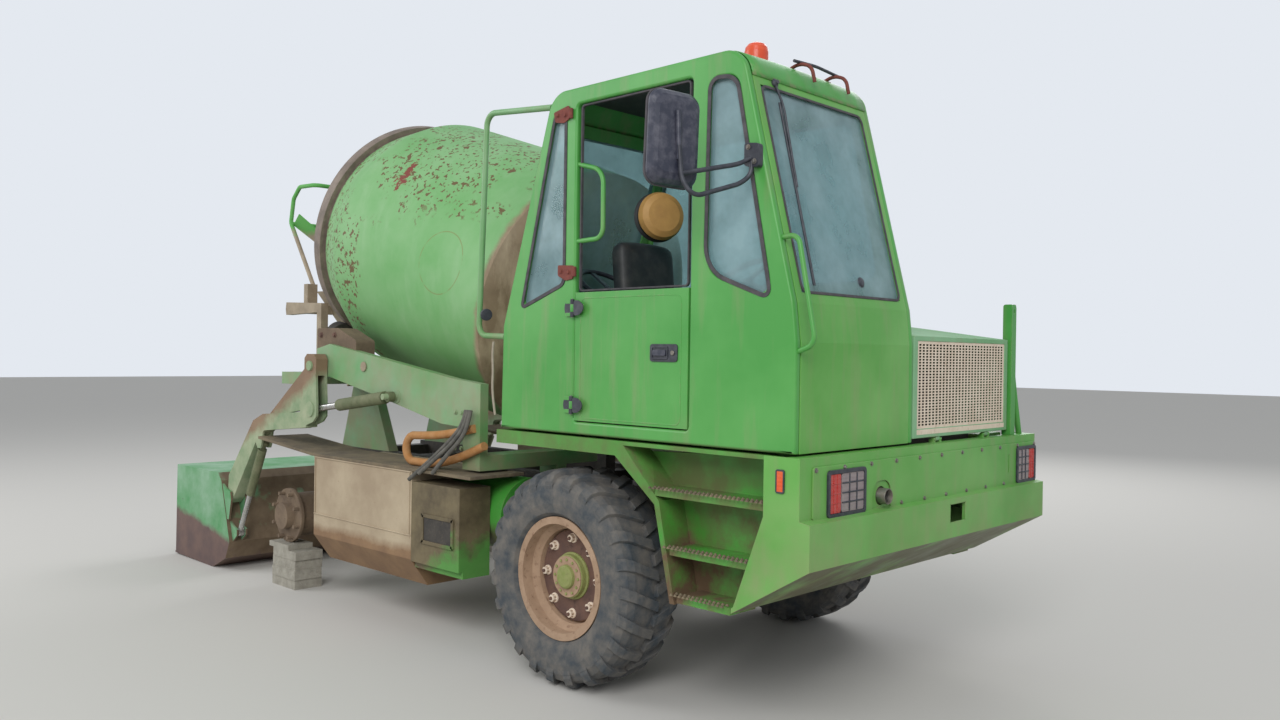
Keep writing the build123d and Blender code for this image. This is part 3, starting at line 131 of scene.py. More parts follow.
class Coat:
    """A material in the making: its tree, its surface shader, the place of each point in metres and
    its body, the colour so far."""

    def __init__(self, name, body=None):
        self.body = body
        self.material = bpy.data.materials.new(name)
        self.material.use_nodes = True
        self.tree = self.material.node_tree
        self.tree.nodes.clear()
        self.shader = add(self.tree, "BsdfPrincipled")
        self.surface = add(self.tree, "OutputMaterial", {"Surface": self.shader.outputs[0]}).inputs["Surface"]
        self.place = self.node("TexCoord", out="Object")

    def node(self, kind, wires=None, out=0, **settings):
        """Add one node and give back one of its outputs."""
        return add(self.tree, kind, wires, **settings).outputs[out]

    def set(self, **values):
        """Feed the shader's own sockets."""
        for key, value in values.items():
            feed(self.tree, self.shader.inputs[key.replace("_", " ")], value)

    def grain(self, size_mm, detail=3.0, rough=0.55, stretch=None):
        """Noise whose lumps are about size_mm across. Stretch scales x, y and z, to draw runs."""
        place = self.node("Mapping", {"Vector": self.place, "Scale": stretch}) if stretch else self.place
        wires = {"Vector": place, "Scale": 1000 / size_mm, "Detail": detail, "Roughness": rough}
        return self.node("TexNoise", wires)

    def ramp(self, value, low, high):
        """0 below low, 1 above high, straight in between."""
        return self.node("MapRange", {"Value": value, "From Min": low, "From Max": high}, clamp=True)

    def spots(self, low, high, *noise):
        """Noise, as grain takes it, cut off to 0 below low and to 1 above high."""
        return self.ramp(self.grain(*noise), low, high)

    def sums(self, how, a, b):
        """Arithmetic on two values."""
        return self.node("Math", {0: a, 1: b}, operation=how)

    def times(self, first, *others):
        for other in others:
            first = self.sums("MULTIPLY", first, other)
        return first

    def plus(self, a, b):
        return self.sums("ADD", a, b)

    def minus(self, a, b):
        return self.sums("SUBTRACT", a, b)

    def vector(self, how, a, b, out=0):
        return self.node("VectorMath", {0: a, 1: b}, out, operation=how)

    def mixed(self, share, first, second):
        """One colour over another, by a share from 0 to 1."""
        return self.node("Mix", {"Factor": share, 6: first, 7: second}, 2, data_type="RGBA")

    def over(self, top, *shares):
        """Lay a colour over the body where all the shares are high."""
        self.body = self.mixed(self.times(*shares), self.body, top)

    def along(self, axis, vector=None):
        """How far a point, or the vector given, goes along an axis: 0 for x, 1 for y, 2 for z."""
        return self.node("SeparateXYZ", {0: vector or self.place}, axis)

    def normal(self):
        return self.node("NewGeometry", out="True Normal")

    def worn_edges(self, radius_mm, threshold):
        """1 along sharp edges: where a rounded normal turns away from the true one."""
        soft = self.node("Bevel", {"Radius": radius_mm * MM}, samples=4)
        match = self.vector("DOT_PRODUCT", soft, self.normal(), "Value")
        return self.ramp(match, 1 - threshold * 0.2, 1 - threshold * 3)

    def done(self, rough, relief, depth_mm, strength):
        """Feed colour and roughness, raise the surface by up to depth_mm, and give the material."""
        wires = {"Height": relief, "Distance": depth_mm * MM, "Strength": strength}
        self.set(Base_Color=self.body, Roughness=rough, Normal=self.node("Bump", wires))
        return self.material


# %% [markdown]
# ## Sprayed enamel
# Alkyd enamel sprayed on sheet steel. When fresh it has an even satin gloss; years of sun chalk
# the top faces to a paler green, dust settles near the ground, and stones chip it to dark rust.
# Each effect is one noise at its own real size, laid over the one before.

# %% Sprayed enamel
CHIP_RUST, DOWNWARD_FACE_BROWN = "#4A3528", "#5E5240"


def sprayed_enamel(name, fresh, faded, dust="#9A8A72", dust_top=0.9, dust_share=0.55, chips=0.35, rough=0.42):
    """Fading paint with dust up to dust_top metres. Chips sets how much of it has flaked."""
    coat = Coat(name)
    coat.body = coat.mixed(coat.spots(0.38, 0.66, 700, 4, 0.6), fresh, faded)
    coat.over(dust, coat.spots(0.5, 0.74, 90, 3, 0.6, (1, 1, 0.12)), 0.28)
    height = coat.along(2)
    low = coat.ramp(height, dust_top, dust_top * 0.25)
    settled = coat.times(low, coat.spots(0.34, 0.62, 260, 6, 0.62), dust_share)
    coat.over(dust, settled)
    # Dark brown in patches on faces that look down, below 1.5 m
    faces_down = coat.ramp(coat.along(2, coat.normal()), -0.12, -0.45)
    coat.over(DOWNWARD_FACE_BROWN, faces_down, coat.ramp(height, 1.5, 1.3), coat.spots(0.28, 0.5, 300, 5, 0.6), 0.85)
    chip = coat.spots(0.72 - 0.1 * chips, 0.76 - 0.1 * chips, 26, 5, 0.7)
    chipped = coat.times(coat.spots(0.5, 0.72, 420, 2), chip, min(1.0, chips * 2))
    coat.over(CHIP_RUST, chipped)
    coat.over(dust, coat.worn_edges(6, 0.05), coat.spots(0.45, 0.6, 60, 4), 0.55)
    gloss = coat.node("MapRange", {"Value": settled, "To Min": rough, "To Max": 0.85})
    dents = coat.plus(coat.grain(330, 2), coat.times(coat.grain(5, 2), 0.05))
    return coat.done(gloss, coat.minus(dents, chipped), 5, 0.35)


cab_green = sprayed_enamel("sprayed_enamel_cab_green", "#459640", "#58A350", chips=0.25)
front_green = sprayed_enamel("sprayed_enamel_front_green", "#559F3E", "#70AF58", dust_top=1.25,
                             dust_share=0.85, chips=0.25)
hood_green = sprayed_enamel("sprayed_enamel_hood_green", "#74A878", "#8FBB94", chips=0.3, rough=0.85)
skirt_green = sprayed_enamel("sprayed_enamel_skirt_green", "#3E932E", "#55A044", "#67523C", 1.7, 1.7)
cradle_green = sprayed_enamel("sprayed_enamel_cradle_green", "#5C9A58", "#86AB82", dust_top=2.6,
                              dust_share=0.85, chips=0.5)
tank_green = sprayed_enamel("sprayed_enamel_oil_tank_green", "#3F9234", "#4FA443", dust_top=0.8)
print("enamels made")

# %% [markdown]
# ## Dried mortar, dust and rust
# Mortar splashes dry to a pale grey-brown crust; bare steel rusts to dark brown with lighter
# blooms. Both are rough and scatter light evenly, so they hardly shine.

# %% Mortar, dust and rust
def crust(name, dark, light, spot, spot_share=0.5, size=120, depth=3.0, rough=0.9):
    """A rough dry surface of two close colours with darker or brighter spots."""
    coat = Coat(name)
    clouds = coat.spots(0.33, 0.67, size, 7, 0.65)
    coat.body = coat.mixed(clouds, dark, light)
    coat.over(spot, coat.spots(0.56, 0.68, size * 0.3, 6, 0.7), spot_share)
    return coat.done(rough, coat.plus(coat.grain(size * 0.2, 6, 0.7), clouds), depth, 0.5)


dusty_paint = crust("dust_on_enamel", "#8E7F66", "#B5A68B", "#6E7F56", 0.35, 260, 2)
mortar = crust("dried_mortar", "#8A7D6A", "#A89A84", "#5D5145", 0.5, 110, 6)
rusty_steel = crust("rusted_plate_steel", "#5A4540", "#74574A", "#3B2D2A", 0.6, 140, 2)
rust_red = crust("rust_red_old_paint", "#6E3A35", "#82483D", "#4A2C28", 0.6, 40, 1.5)
greasy_steel = crust("greasy_cast_steel", "#2E2B28", "#45403A", "#6B5F4E", 0.4, 90, 2, 0.7)
brown_steel = crust("weathered_brown_steel", "#685849", "#82705C", "#483B32", 0.5, 180, 2)
cream_paint = crust("chalked_cream_paint", "#DECBB7", "#EBDCCA", "#A88A70", 0.4, 90, 1, 0.75)
rusty_rim = crust("rim_paint_and_rust", "#9C8068", "#AF937A", "#70513C", 0.7, 110, 1.5, 0.8)
hub_olive = crust("dusty_olive_hub", "#7F8A4A", "#93965F", "#6E6046", 0.4, 50, 1, 0.75)
concrete = crust("cast_concrete_block", "#8F8B80", "#AAA69A", "#77736A", 0.4, 60, 2.5)
guard_dust = crust("dusty_mudguard_plate", "#5F5547", "#85775F", "#9A8C72", 0.5, 220, 2)
cylinder_paint = crust("dirty_cylinder_enamel", "#56613F", "#7B7D60", "#4A4435", 0.45, 120, 1.5, 0.75)

# %% [markdown]
# ## Rubber
# Tyres and window seals are vulcanised rubber filled with carbon black: dark, with almost no
# gloss once the sun has dried it. Fine pale dust lies on the sidewalls and hides the black.

# %% Rubber
def sun_dried_rubber(name, dark, dust, share, size):
    coat = Coat(name, dark)
    coat.over(dust, coat.spots(0.35, 0.68, size, 6, 0.65), share)
    return coat.done(0.85, coat.grain(12, 4), 0.8, 0.4)


tyre_rubber = sun_dried_rubber("tyre_rubber_with_dust", "#3F464C", "#7C756C", 0.75, 110)
seal_rubber = sun_dried_rubber("window_seal_rubber", "#3E3C40", "#6A6468", 0.5, 60)
hose_rubber = sun_dried_rubber("hydraulic_hose_rubber", "#4C4B47", "#7B776E", 0.7, 60)
suction_hose = sun_dried_rubber("suction_hose_orange", "#A8743F", "#BD9468", 0.6, 60)
cable_jacket = sun_dried_rubber("cable_jacket", "#9A8F80", "#B3A998", 0.5, 30)

# %% [markdown]
# ## Glass, lenses, moulded plastic and bare steel
# Cab glass is toughened float glass with a faint blue-green tint (IOR 1.52), dust and a painted sky reflection.
# Lamp lenses are moulded polycarbonate (IOR 1.58). The mirror back and handle are black ABS.
# Turned and drawn steel shines only where the dirt has been wiped off.

# %% Glass, plastics and bare steel
RIB_MM = 9                   # pitch of the fine ribs pressed into a lens


def float_glass(name, tint, dust_and_reflection, dust_and_reflection_share):
    """A thin pane: it lets light straight through, tinted, under a film of dust and painted sky reflection."""
    coat = Coat(name)
    coat.set(Base_Color=dust_and_reflection, Roughness=0.12, IOR=1.52)
    share = coat.node("MapRange", {"Value": coat.grain(300, 4, 0.6), "From Min": 0.3, "From Max": 0.7,
                                   "To Min": dust_and_reflection_share * 0.6, "To Max": dust_and_reflection_share * 1.3})
    clear = coat.node("BsdfTransparent", {"Color": tint})
    feed(coat.tree, coat.surface, coat.node("MixShader", {0: share, 1: clear, 2: coat.shader.outputs[0]}))
    return coat.material


def moulded_plastic(name, base, dust, rough=0.45, share=0.35, size=40):
    coat = Coat(name, base)
    coat.set(IOR=1.5)
    coat.over(dust, coat.spots(0.42, 0.7, size, 5, 0.6), share)
    return coat.done(rough, coat.grain(1.6, 2), 0.15, 0.3)


def lens(name, base, dust):
    """A ribbed polycarbonate lens over a dark bowl."""
    coat = Coat(name, base)
    coat.set(IOR=1.58)
    coat.over(dust, coat.spots(0.4, 0.7, 40, 4), 0.4)
    wires = {"Vector": coat.place, "Scale": 1000 / RIB_MM / 6.28, "Distortion": 0.0}
    return coat.done(0.25, coat.node("TexWave", wires, 1, bands_direction="Z"), 1.2, 0.5)


def drawn_steel(name, base, rough, dust, share):
    """Turned or drawn bare steel with dirt in patches."""
    coat = Coat(name, base)
    dirty = coat.times(coat.spots(0.4, 0.65, 50, 5, 0.65), share)
    coat.over(dust, dirty)
    coat.set(Metallic=coat.minus(1.0, dirty))
    return coat.done(rough, coat.grain(3, 2), 0.2, 0.3)


# Painted reflection: the pale blue film colour stands for the sky mirrored in the glass, over a little dust.
cab_pane = float_glass("dusty_glass_painted_reflection", "#C4DCDC", "#A9C6CC", 0.42)
black_abs = moulded_plastic("black_abs", "#2B2D36", "#5F6168")
mirror_back = moulded_plastic("mirror_back_abs", "#2C2F3E", "#6B6A74", 0.38, 0.45)
vinyl = moulded_plastic("worn_black_vinyl", "#26282B", "#54534E", 0.55, 0.4, 90)
tan_vinyl = moulded_plastic("sun_tanned_vinyl", "#C79A58", "#A67B45", 0.6, 0.6, 120)
beacon_lens = moulded_plastic("beacon_polycarbonate", "#DB4A25", "#E0724A", 0.3, 0.4)
red_lens = lens("red_polycarbonate_lens", "#B8332E", "#C86A5E")
grey_lens = lens("clear_lens_over_bowl", "#8A7E80", "#A59A94")
orange_reflector = lens("orange_reflector", "#E0531F", "#D9794E")
chrome_rod = drawn_steel("hard_chromed_rod", "#C4C4C2", 0.25, "#7C6F5E", 0.6)
bare_steel = drawn_steel("turned_bare_steel", "#8A8782", 0.45, "#6E6252", 0.8)
print("materials:", len(bpy.data.materials))

# %% [markdown]
# ## Paint that gives way to dirt
# On the loader, the bucket and the tank the paint lasts only where nothing rubs or splashes. A
# wandering line parts the paint above from the dirt or rust below, so one function lays one
# coat over another across a tilted plane, with noise to roughen the border.

# %% Two coats with a ragged border
def beyond(coat, start, way, blend_mm, wander_mm, size_mm):
    """0 on the near side of a plane, 1 beyond it, with a ragged border between."""
    away = coat.vector("SUBTRACT", coat.place, at(*start))
    far = coat.vector("DOT_PRODUCT", away, Vector(way).normalized(), "Value")
    ragged = coat.times(coat.minus(coat.grain(size_mm, 6, 0.65), 0.5), wander_mm * MM)
    return coat.ramp(coat.plus(far, ragged), -blend_mm * MM / 2, blend_mm * MM / 2)


def clouded(coat, size_mm, dark, light):
    return coat.mixed(coat.spots(0.35, 0.65, size_mm, 6, 0.62), dark, light)


def two_coats(name, start, way, paint, under, blend_mm=60, wander_mm=300, size_mm=240, chip=0.3, back=None):
    """A pair of paint colours beyond the plane, a pair of dirt colours before it. A third pair can
    cover the faces that look towards the cab."""
    coat = Coat(name)
    chips = coat.spots(0.7 - 0.12 * chip, 0.73 - 0.12 * chip, 30, 5, 0.7)
    share = coat.times(beyond(coat, start, way, blend_mm, wander_mm, size_mm), coat.minus(1.0, chips))
    coat.body = coat.mixed(share, clouded(coat, 150, *under), clouded(coat, 420, *paint))
    if back:
        facing = coat.ramp(coat.along(0, coat.normal()), 0.3, 0.6)
        coat.over(clouded(coat, 180, *back), facing, coat.spots(0.3, 0.45, 200, 5))
    return coat.done(0.7, coat.plus(coat.grain(40, 6, 0.7), coat.times(share, 0.4)), 2.5, 0.45)


bucket_paint = two_coats("worn_bucket_enamel", (-3811, 0, 245), (0.155, 0, 1), ("#4F935A", "#8DB294"),
                         ("#5C4A48", "#6F5850"), 50, 160, 300, back=("#63523F", "#7D6B55"))
hopper_paint = two_coats("splashed_hopper_enamel", (-3900, 0, 2790), (0, 0, 1), ("#4FA24A", "#63AA57"),
                         ("#8A7D6A", "#A89A84"), 60, 200, 160)
arm_paint = two_coats("worn_loader_enamel", (-3280, 0, 1290), (-0.5, 0, 1), ("#7E6650", "#8F775E"),
                      ("#7F9672", "#A3AC8C"), 80, 260, 260, 0.2)
tank_skin = two_coats("dusty_tank_enamel", (-2000, 0, 560), (0, 0, 1), ("#A08E76", "#B9A98F"),
                      ("#7E6248", "#8F7152"), 60, 120, 300, 0.1)
battery_paint = two_coats("dirty_battery_box_enamel", (-1060, 0, 560), (0.35, 0, -1),
                          ("#4A8A3A", "#5E9449"), ("#554A36", "#73674C"), 90, 520, 320, 0.25)

# %% [markdown]
# ## Drum from end to end
# Along the drum's axis the finish changes: mortar runs and brown dirt on the cone by the cab,
# chalky green on the shell with chips crowded in bands, a bare brown ring for the rollers, and a
# cone of pale dried mortar at the mouth. A round hatch shows as a brown line.

# %% Drum enamel along its axis
DRUM_START = (-718, 0, 2016)
DRUM_TILT = radians(16.5)
DRUM_WAY = (-cos(DRUM_TILT), 0, sin(DRUM_TILT))
HATCH, HATCH_R, HATCH_LINE = (-1444, -939, 2370), 0.208, 0.004
SCRATCH, SCRATCH_SHAPE = (-2085, -790, 3020), (6.5, 3.4, 3.4)


def past(coat, along, *border):
    """1 beyond a cut across the drum, at so many millimetres from its closed end."""
    cut = [a + b * along for a, b in zip(DRUM_START, DRUM_WAY)]
    return beyond(coat, cut, DRUM_WAY, *border)


def chalked_drum_enamel(name):
    coat = Coat(name)
    coat.body = clouded(coat, 900, "#64A45C", "#84B47C")
    coat.over("#97BA90", coat.spots(0.5, 0.75, 120, 4, 0.6, (1, 1, 0.2)), 0.3)
    # Painted shade: a darker green over the lower side of the shell, below about 2.15 m
    coat.over("#5F8A4C", coat.ramp(coat.along(2), 2.15, 1.5), 0.55)
    # Chips crowd together where the roller end of the shell and its top are struck
    belly = coat.sums("MAXIMUM", past(coat, 1750, 500, 500, 400),
                      beyond(coat, (-1700, 0, 2730), (0, 0, 1), 500, 400, 300))
    crowd = coat.times(coat.spots(0.36, 0.52, 640, 2), coat.plus(coat.times(belly, 0.9), 0.1))
    fine, coarse = coat.spots(0.59, 0.62, 30, 2, 0.5), coat.spots(0.63, 0.65, 80, 3, 0.55)
    chips = coat.times(coat.ramp(crowd, 0.35, 0.5), coat.sums("MAXIMUM", fine, coarse))
    coat.over("#64502C", chips)
    # One large red-brown scratch, then the hatch's line
    scratch = coat.vector("MULTIPLY", coat.vector("SUBTRACT", coat.place, at(*SCRATCH)), SCRATCH_SHAPE)
    far = coat.node("VectorMath", {0: scratch}, "Value", operation="LENGTH")
    coat.over("#7A3426", coat.ramp(coat.plus(far, coat.times(coat.grain(46, 4, 0.7), 1.9)), 1.28, 1.22))
    line = coat.sums("COMPARE", coat.vector("DISTANCE", coat.place, at(*HATCH), "Value"), HATCH_R)
    line.node.inputs[2].default_value = HATCH_LINE
    coat.over("#7C7A3E", line, coat.spots(0.36, 0.5, 90, 3), 0.6)
    # The cone by the cab, then the ring for the rollers and the cone at the mouth
    runs = coat.times(coat.spots(0.46, 0.66, 160, 6, 0.62, (1, 1, 0.35)), 0.75)
    cone = coat.mixed(runs, clouded(coat, 420, "#6E5A42", "#8F7C62"), "#B5A387")
    coat.body = coat.mixed(past(coat, 372, 40, 110, 200), cone, coat.body)
    coat.over(clouded(coat, 120, "#6B5F56", "#8A7C70"), past(coat, 2380, 12, 30, 60))
    coat.over(clouded(coat, 160, "#A38F78", "#BDAC95"), past(coat, 2500, 12, 60, 120))
    return coat.done(0.6, coat.minus(coat.grain(260, 2), coat.times(chips, 0.4)), 4, 0.3)


drum_green = chalked_drum_enamel("chalked_enamel_drum")
print("drum enamel made")

# %% [markdown]
# ## Finishes for the CAD pieces
# Most solids keep their shape and only get the right surface. A weld and a small bevel soften
# every hard edge, as folded and painted steel has no razor edges.

# %% Give each CAD piece its finish
FINISHES = {
    cab_green: ["cab_near_side", "cab_far_side", "cab_door", "cab_rear", "cab_roof"],
    front_green: ["cab_front", "front_bumper"],
    hood_green: ["engine_hood"],
    skirt_green: ["near_skirt", "far_skirt"],
    tank_green: ["oil_tank"],
    cylinder_paint: ["lift_barrels", "tilt_barrels"],
    cradle_green: ["drum_cradle", "cab_guard_tube"],
    drum_green: ["drum"],
    dusty_paint: ["chute"],
    tank_skin: ["water_tank", "far_side_tank"],
    battery_paint: ["battery_box"],
    guard_dust: ["mudguards"],
    arm_paint: ["loader_arms"],
    hopper_paint: ["hopper"],
    bucket_paint: ["bucket"],
    bare_steel: ["exhaust_tip"],
    brown_steel: ["bucket_axle"],
    greasy_steel: ["chassis_frame", "cab_axle", "engine_block", "cab_floor", "drum_drive", "roller_near",
                   "roller_far", "knuckle_near", "knuckle_far"],
    rusty_rim: ["rim_near", "rim_far"],
    tyre_rubber: ["tyre_near", "tyre_far"],
    cream_paint: ["radiator_grille"],
    concrete: ["block_stacks"],
    cab_pane: ["cab_glass", "windscreen"],
    vinyl: ["driver_seat"],
    black_abs: ["steering_stations"],
    mirror_back: ["mirror"],
    beacon_lens: ["beacon"],
    grey_lens: ["lamps"],
    chrome_rod: ["lift_rods", "tilt_rods"],
}
SAME_POINT = 0.00002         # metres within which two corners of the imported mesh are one
EDGE_WIDTH = 0.003


def soften(piece, width, angle):
    """Bevel the edges that turn by more than an angle."""
    bevel = piece.modifiers.new("soft_edges", "BEVEL")
    bevel.width = width
    bevel.segments = 2
    bevel.limit_method = "ANGLE"
    bevel.angle_limit = radians(angle)


for material, names in FINISHES.items():
    for name in names:
        piece = nodes[name]
        piece.data.materials.clear()
        piece.data.materials.append(material)
        if material is not cab_pane:
            piece.modifiers.new("weld", "WELD").merge_threshold = SAME_POINT
            soften(piece, EDGE_WIDTH, 32)
print("nodes without a finish:", sorted(set(nodes) - {n for names in FINISHES.values() for n in names}))

# %% [markdown]
# ## Small parts in mesh code
# The solids stop at the main shapes. Gaskets, plates, bolts and rails are small flat or round
# things, so a few helpers make nearly all of them: a plate cut from an outline, a ring cut from
# the same outline, a set of bolts, a bent bar and a turned part. Outlines are lists of corners in
# the machine's own millimetres. Blender rounds the corners, which keeps each list short.

# %% Helpers for plates, rings and bolts
SHARPEST = 0.3               # keeps a ring's mitre short at a sharp corner
HEAD_TURN, HEAD_TAPER, WASHER_THICK = 0.7, 0.94, 0.25
LEG_SHARE, ARC_SHARE = 0.45, 0.55


def keep(name, shape, material, body="chassis", edge_mm=0.0, smooth=False):
    """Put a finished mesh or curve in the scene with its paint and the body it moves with."""
    if isinstance(shape, bmesh.types.BMesh):
        mesh = bpy.data.meshes.new(name)
        shape.to_mesh(mesh)
        shape.free()
        shape = mesh
    made = new_object(name, shape)
    shape.materials.append(material)
    if smooth:
        shape.shade_smooth()
    if edge_mm:
        soften(made, edge_mm * MM, 35)
    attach(made, body)
    return made


def oblong(a0, a1, b0, b1):
    """The four corners of an upright rectangle."""
    return [(a0, b0), (a0, b1), (a1, b1), (a1, b0)]


def on_side(points, y):
    return [(x, y, z) for x, z in points]


def on_front(points, x):
    return [(x, y, z) for y, z in points]


def laid_flat(points, z):
    return [(x, y, z) for x, y in points]


def rounded_face(bm, corners, radius):
    """A flat face through the corners, rounded by one radius or by one for each. Gives its normal."""
    start = [bm.verts.new(at(*corner)) for corner in corners]
    bm.faces.new(start)
    radii = radius if isinstance(radius, list) else [radius] * len(start)
    for vert, reach in zip(start, radii):
        if reach:
            bmesh.ops.bevel(bm, geom=[vert], offset=reach * MM, offset_type="OFFSET", segments=6, profile=0.5,
                            affect="VERTICES")
    bm.normal_update()
    return bm.faces[:][0].normal.copy()


def thicken(bm, way, thick_mm):
    """Pull all the flat faces out in one direction to make a solid plate."""
    pulled = bmesh.ops.extrude_face_region(bm, geom=bm.faces[:])
    moved = [item for item in pulled["geom"] if isinstance(item, bmesh.types.BMVert)]
    bmesh.ops.translate(bm, verts=moved, vec=way * thick_mm * MM)
    bmesh.ops.recalc_face_normals(bm, faces=bm.faces[:])


def skin(bm, rows, closed=True):
    """Faces between rings of corners, each joined to the next, and over both ends if closed."""
    for low, high in zip(rows, rows[1:]):
        for i in range(len(low)):
            j = (i + 1) % len(low)
            bm.faces.new((low[i], low[j], high[j], high[i]))
    if closed:
        bm.faces.new(rows[0])
        bm.faces.new(rows[-1])
        bmesh.ops.recalc_face_normals(bm, faces=bm.faces[:])


def aimed(place, way):
    """The turn and shift that take z to a direction and zero to a place in millimetres."""
    return Matrix.Translation(at(*place)) @ Vector(way).to_track_quat("Z", "Y").to_matrix().to_4x4()


def plate(name, corners, thick, material, body="chassis", radius=0, edge=1.0):
    """A flat plate whose middle lies in the outline's plane."""
    bm = bmesh.new()
    way = rounded_face(bm, corners, radius)
    bmesh.ops.translate(bm, verts=bm.verts[:], vec=way * -thick * MM / 2)
    thicken(bm, way, thick)
    return keep(name, bm, material, body, edge)


def ring(name, corners, out, inside, thick, material, body="chassis", radius=0, edge=1.5):
    """A frame round an outline: it reaches out beyond it and covers a strip inside it."""
    bm = bmesh.new()
    way = rounded_face(bm, corners, radius)
    loop = [vert.co.copy() for vert in bm.faces[:][0].verts]
    bm.clear()
    rows = [[], []]
    for i in range(len(loop)):
        before = (loop[i] - loop[i - 1]).normalized().cross(way)
        after = (loop[(i + 1) % len(loop)] - loop[i]).normalized().cross(way)
        side = (before + after).normalized()
        lean = max(SHARPEST, side.dot(before))
        for row, offset in zip(rows, (out, -inside)):
            row.append(bm.verts.new(loop[i] + side * offset * MM / lean - way * thick * MM / 2))
    skin(bm, rows, closed=False)
    thicken(bm, way, thick)
    return keep(name, bm, material, body, edge)


def bolts(name, places, way, head, high, material, body="chassis", washer=0):
    """Hexagon heads, and washers if asked, at places given in millimetres, pointing one way."""
    bm = bmesh.new()
    for number, place in enumerate(places):
        spot = aimed(place, way) @ Matrix.Rotation(number * HEAD_TURN, 4, "Z")
        for sides, wide, tall in ((6, head, high), (16, washer, high * WASHER_THICK)):
            if wide:
                radius = wide / 2 * MM
                bmesh.ops.create_cone(bm, cap_ends=True, segments=sides, radius1=radius, radius2=radius * HEAD_TAPER,
                                      depth=tall * MM, matrix=spot @ Matrix.Translation((0, 0, tall / 2 * MM)))
    return keep(name, bm, material, body, 0.6)


def round_curve(name, radius, smoothness):
    """An empty curve that draws a capped round bar."""
    curve = bpy.data.curves.new(name, "CURVE")
    curve.dimensions = "3D"
    curve.bevel_depth = radius * MM
    curve.bevel_resolution = smoothness
    curve.use_fill_caps = True
    return curve


def bar(name, runs, radius, material, body="chassis", bend=None):
    """Round bars. Each run is a list of points; a short Bezier turn rounds each corner."""
    curve = round_curve(name, radius, 3)
    curve.resolution_u = 6
    for run in runs:
        places = [at(*point) for point in run]
        knots = [(places[0], None, None)]
        for before, here, after in zip(places, places[1:], places[2:]):
            back, on = before - here, after - here
            reach = min((bend or radius * 4) * MM, back.length * LEG_SHARE, on.length * LEG_SHARE)
            first, second = here + back.normalized() * reach, here + on.normalized() * reach
            knots += [(first, None, first.lerp(here, ARC_SHARE)), (second, second.lerp(here, ARC_SHARE), None)]
        knots.append((places[-1], None, None))
        spline = curve.splines.new("BEZIER")
        spline.bezier_points.add(len(knots) - 1)
        for point, (co, left, right) in zip(spline.bezier_points, knots):
            point.co = co
            point.handle_left_type = point.handle_right_type = "FREE"
            point.handle_left = left or co
            point.handle_right = right or co
    return keep(name, curve, material, body)


def turned_part(name, start, way, outline, material, body="chassis", sides=40):
    """A turned part: an outline of (along, radius) pairs spun about a line."""
    place = aimed(start, way)
    turns = [2 * pi * i / sides for i in range(sides)]
    bm = bmesh.new()
    skin(bm, [[bm.verts.new(place @ (Vector((cos(a) * radius, sin(a) * radius, along)) * MM)) for a in turns]
              for along, radius in outline])
    return keep(name, bm, material, body, 1.0)


print("helpers ready")

# %% [markdown]
# ## Window rubbers
# Each pane of the cab sits in a black rubber strip that grips the sheet steel on one side and
# the glass on the other. From outside it is a dark line about 2 cm wide round every window.

# %% Window rubbers
CAB_NEAR, CAB_FAR, DOOR_SKIN, PANEL_FACE = -1170, -155, -1150, 1581
REAR_WINDOW = [(-70, 3075), (22, 3080), (22, 2160), (-335, 2035)]
FRONT_WINDOW = [(1015, 3085), (1180, 3070), (1390, 2040), (1000, 2185)]
FRONT_ROUND = [62, 66, 66, 120]
FAR_WINDOW = [(-150, 3040), (1150, 3040), (1330, 2180), (-330, 2180)]
REAR_LEAN = 0.31818          # how far the rear wall leans forward for each unit up


def screen_x(z):
    return 1503 - 0.25646 * (z - 2030)


def rear_x(z):
    return -495 + REAR_LEAN * (z - 1940)


for name, window, y, corner in (("rear_quarter", REAR_WINDOW, CAB_NEAR, 38),
                                ("front_quarter", FRONT_WINDOW, CAB_NEAR, FRONT_ROUND),
                                ("far_window", FAR_WINDOW, CAB_FAR, 70)):
    ring("rubber_" + name, on_side(window, y), 7, 13, 7, seal_rubber, radius=corner)
screen = [(screen_x(z) + 1, y, z) for y, z in oblong(-1085, -240, 2075, 3030)]
ring("rubber_windscreen", screen, 4, 9, 6, seal_rubber, radius=40)
rear = [(rear_x(z) - 1, y, z) for y, z in oblong(-1070, -255, 2050, 3010)]
ring("rubber_rear_pane", rear, 8, 14, 8, seal_rubber, radius=60)
ring("rubber_door_opening", on_side(oblong(124, 891, 2118, 3101), DOOR_SKIN), 0, 9, 16, seal_rubber, radius=24)
print("window rubbers made")

# %% [markdown]
# ## Door furniture
# The lower door hangs on two hinges with black D-shaped covers. The upper door is gone: only its
# two rusty hinge plates are left on the pillar. The handle is a black moulded plate with a grip.

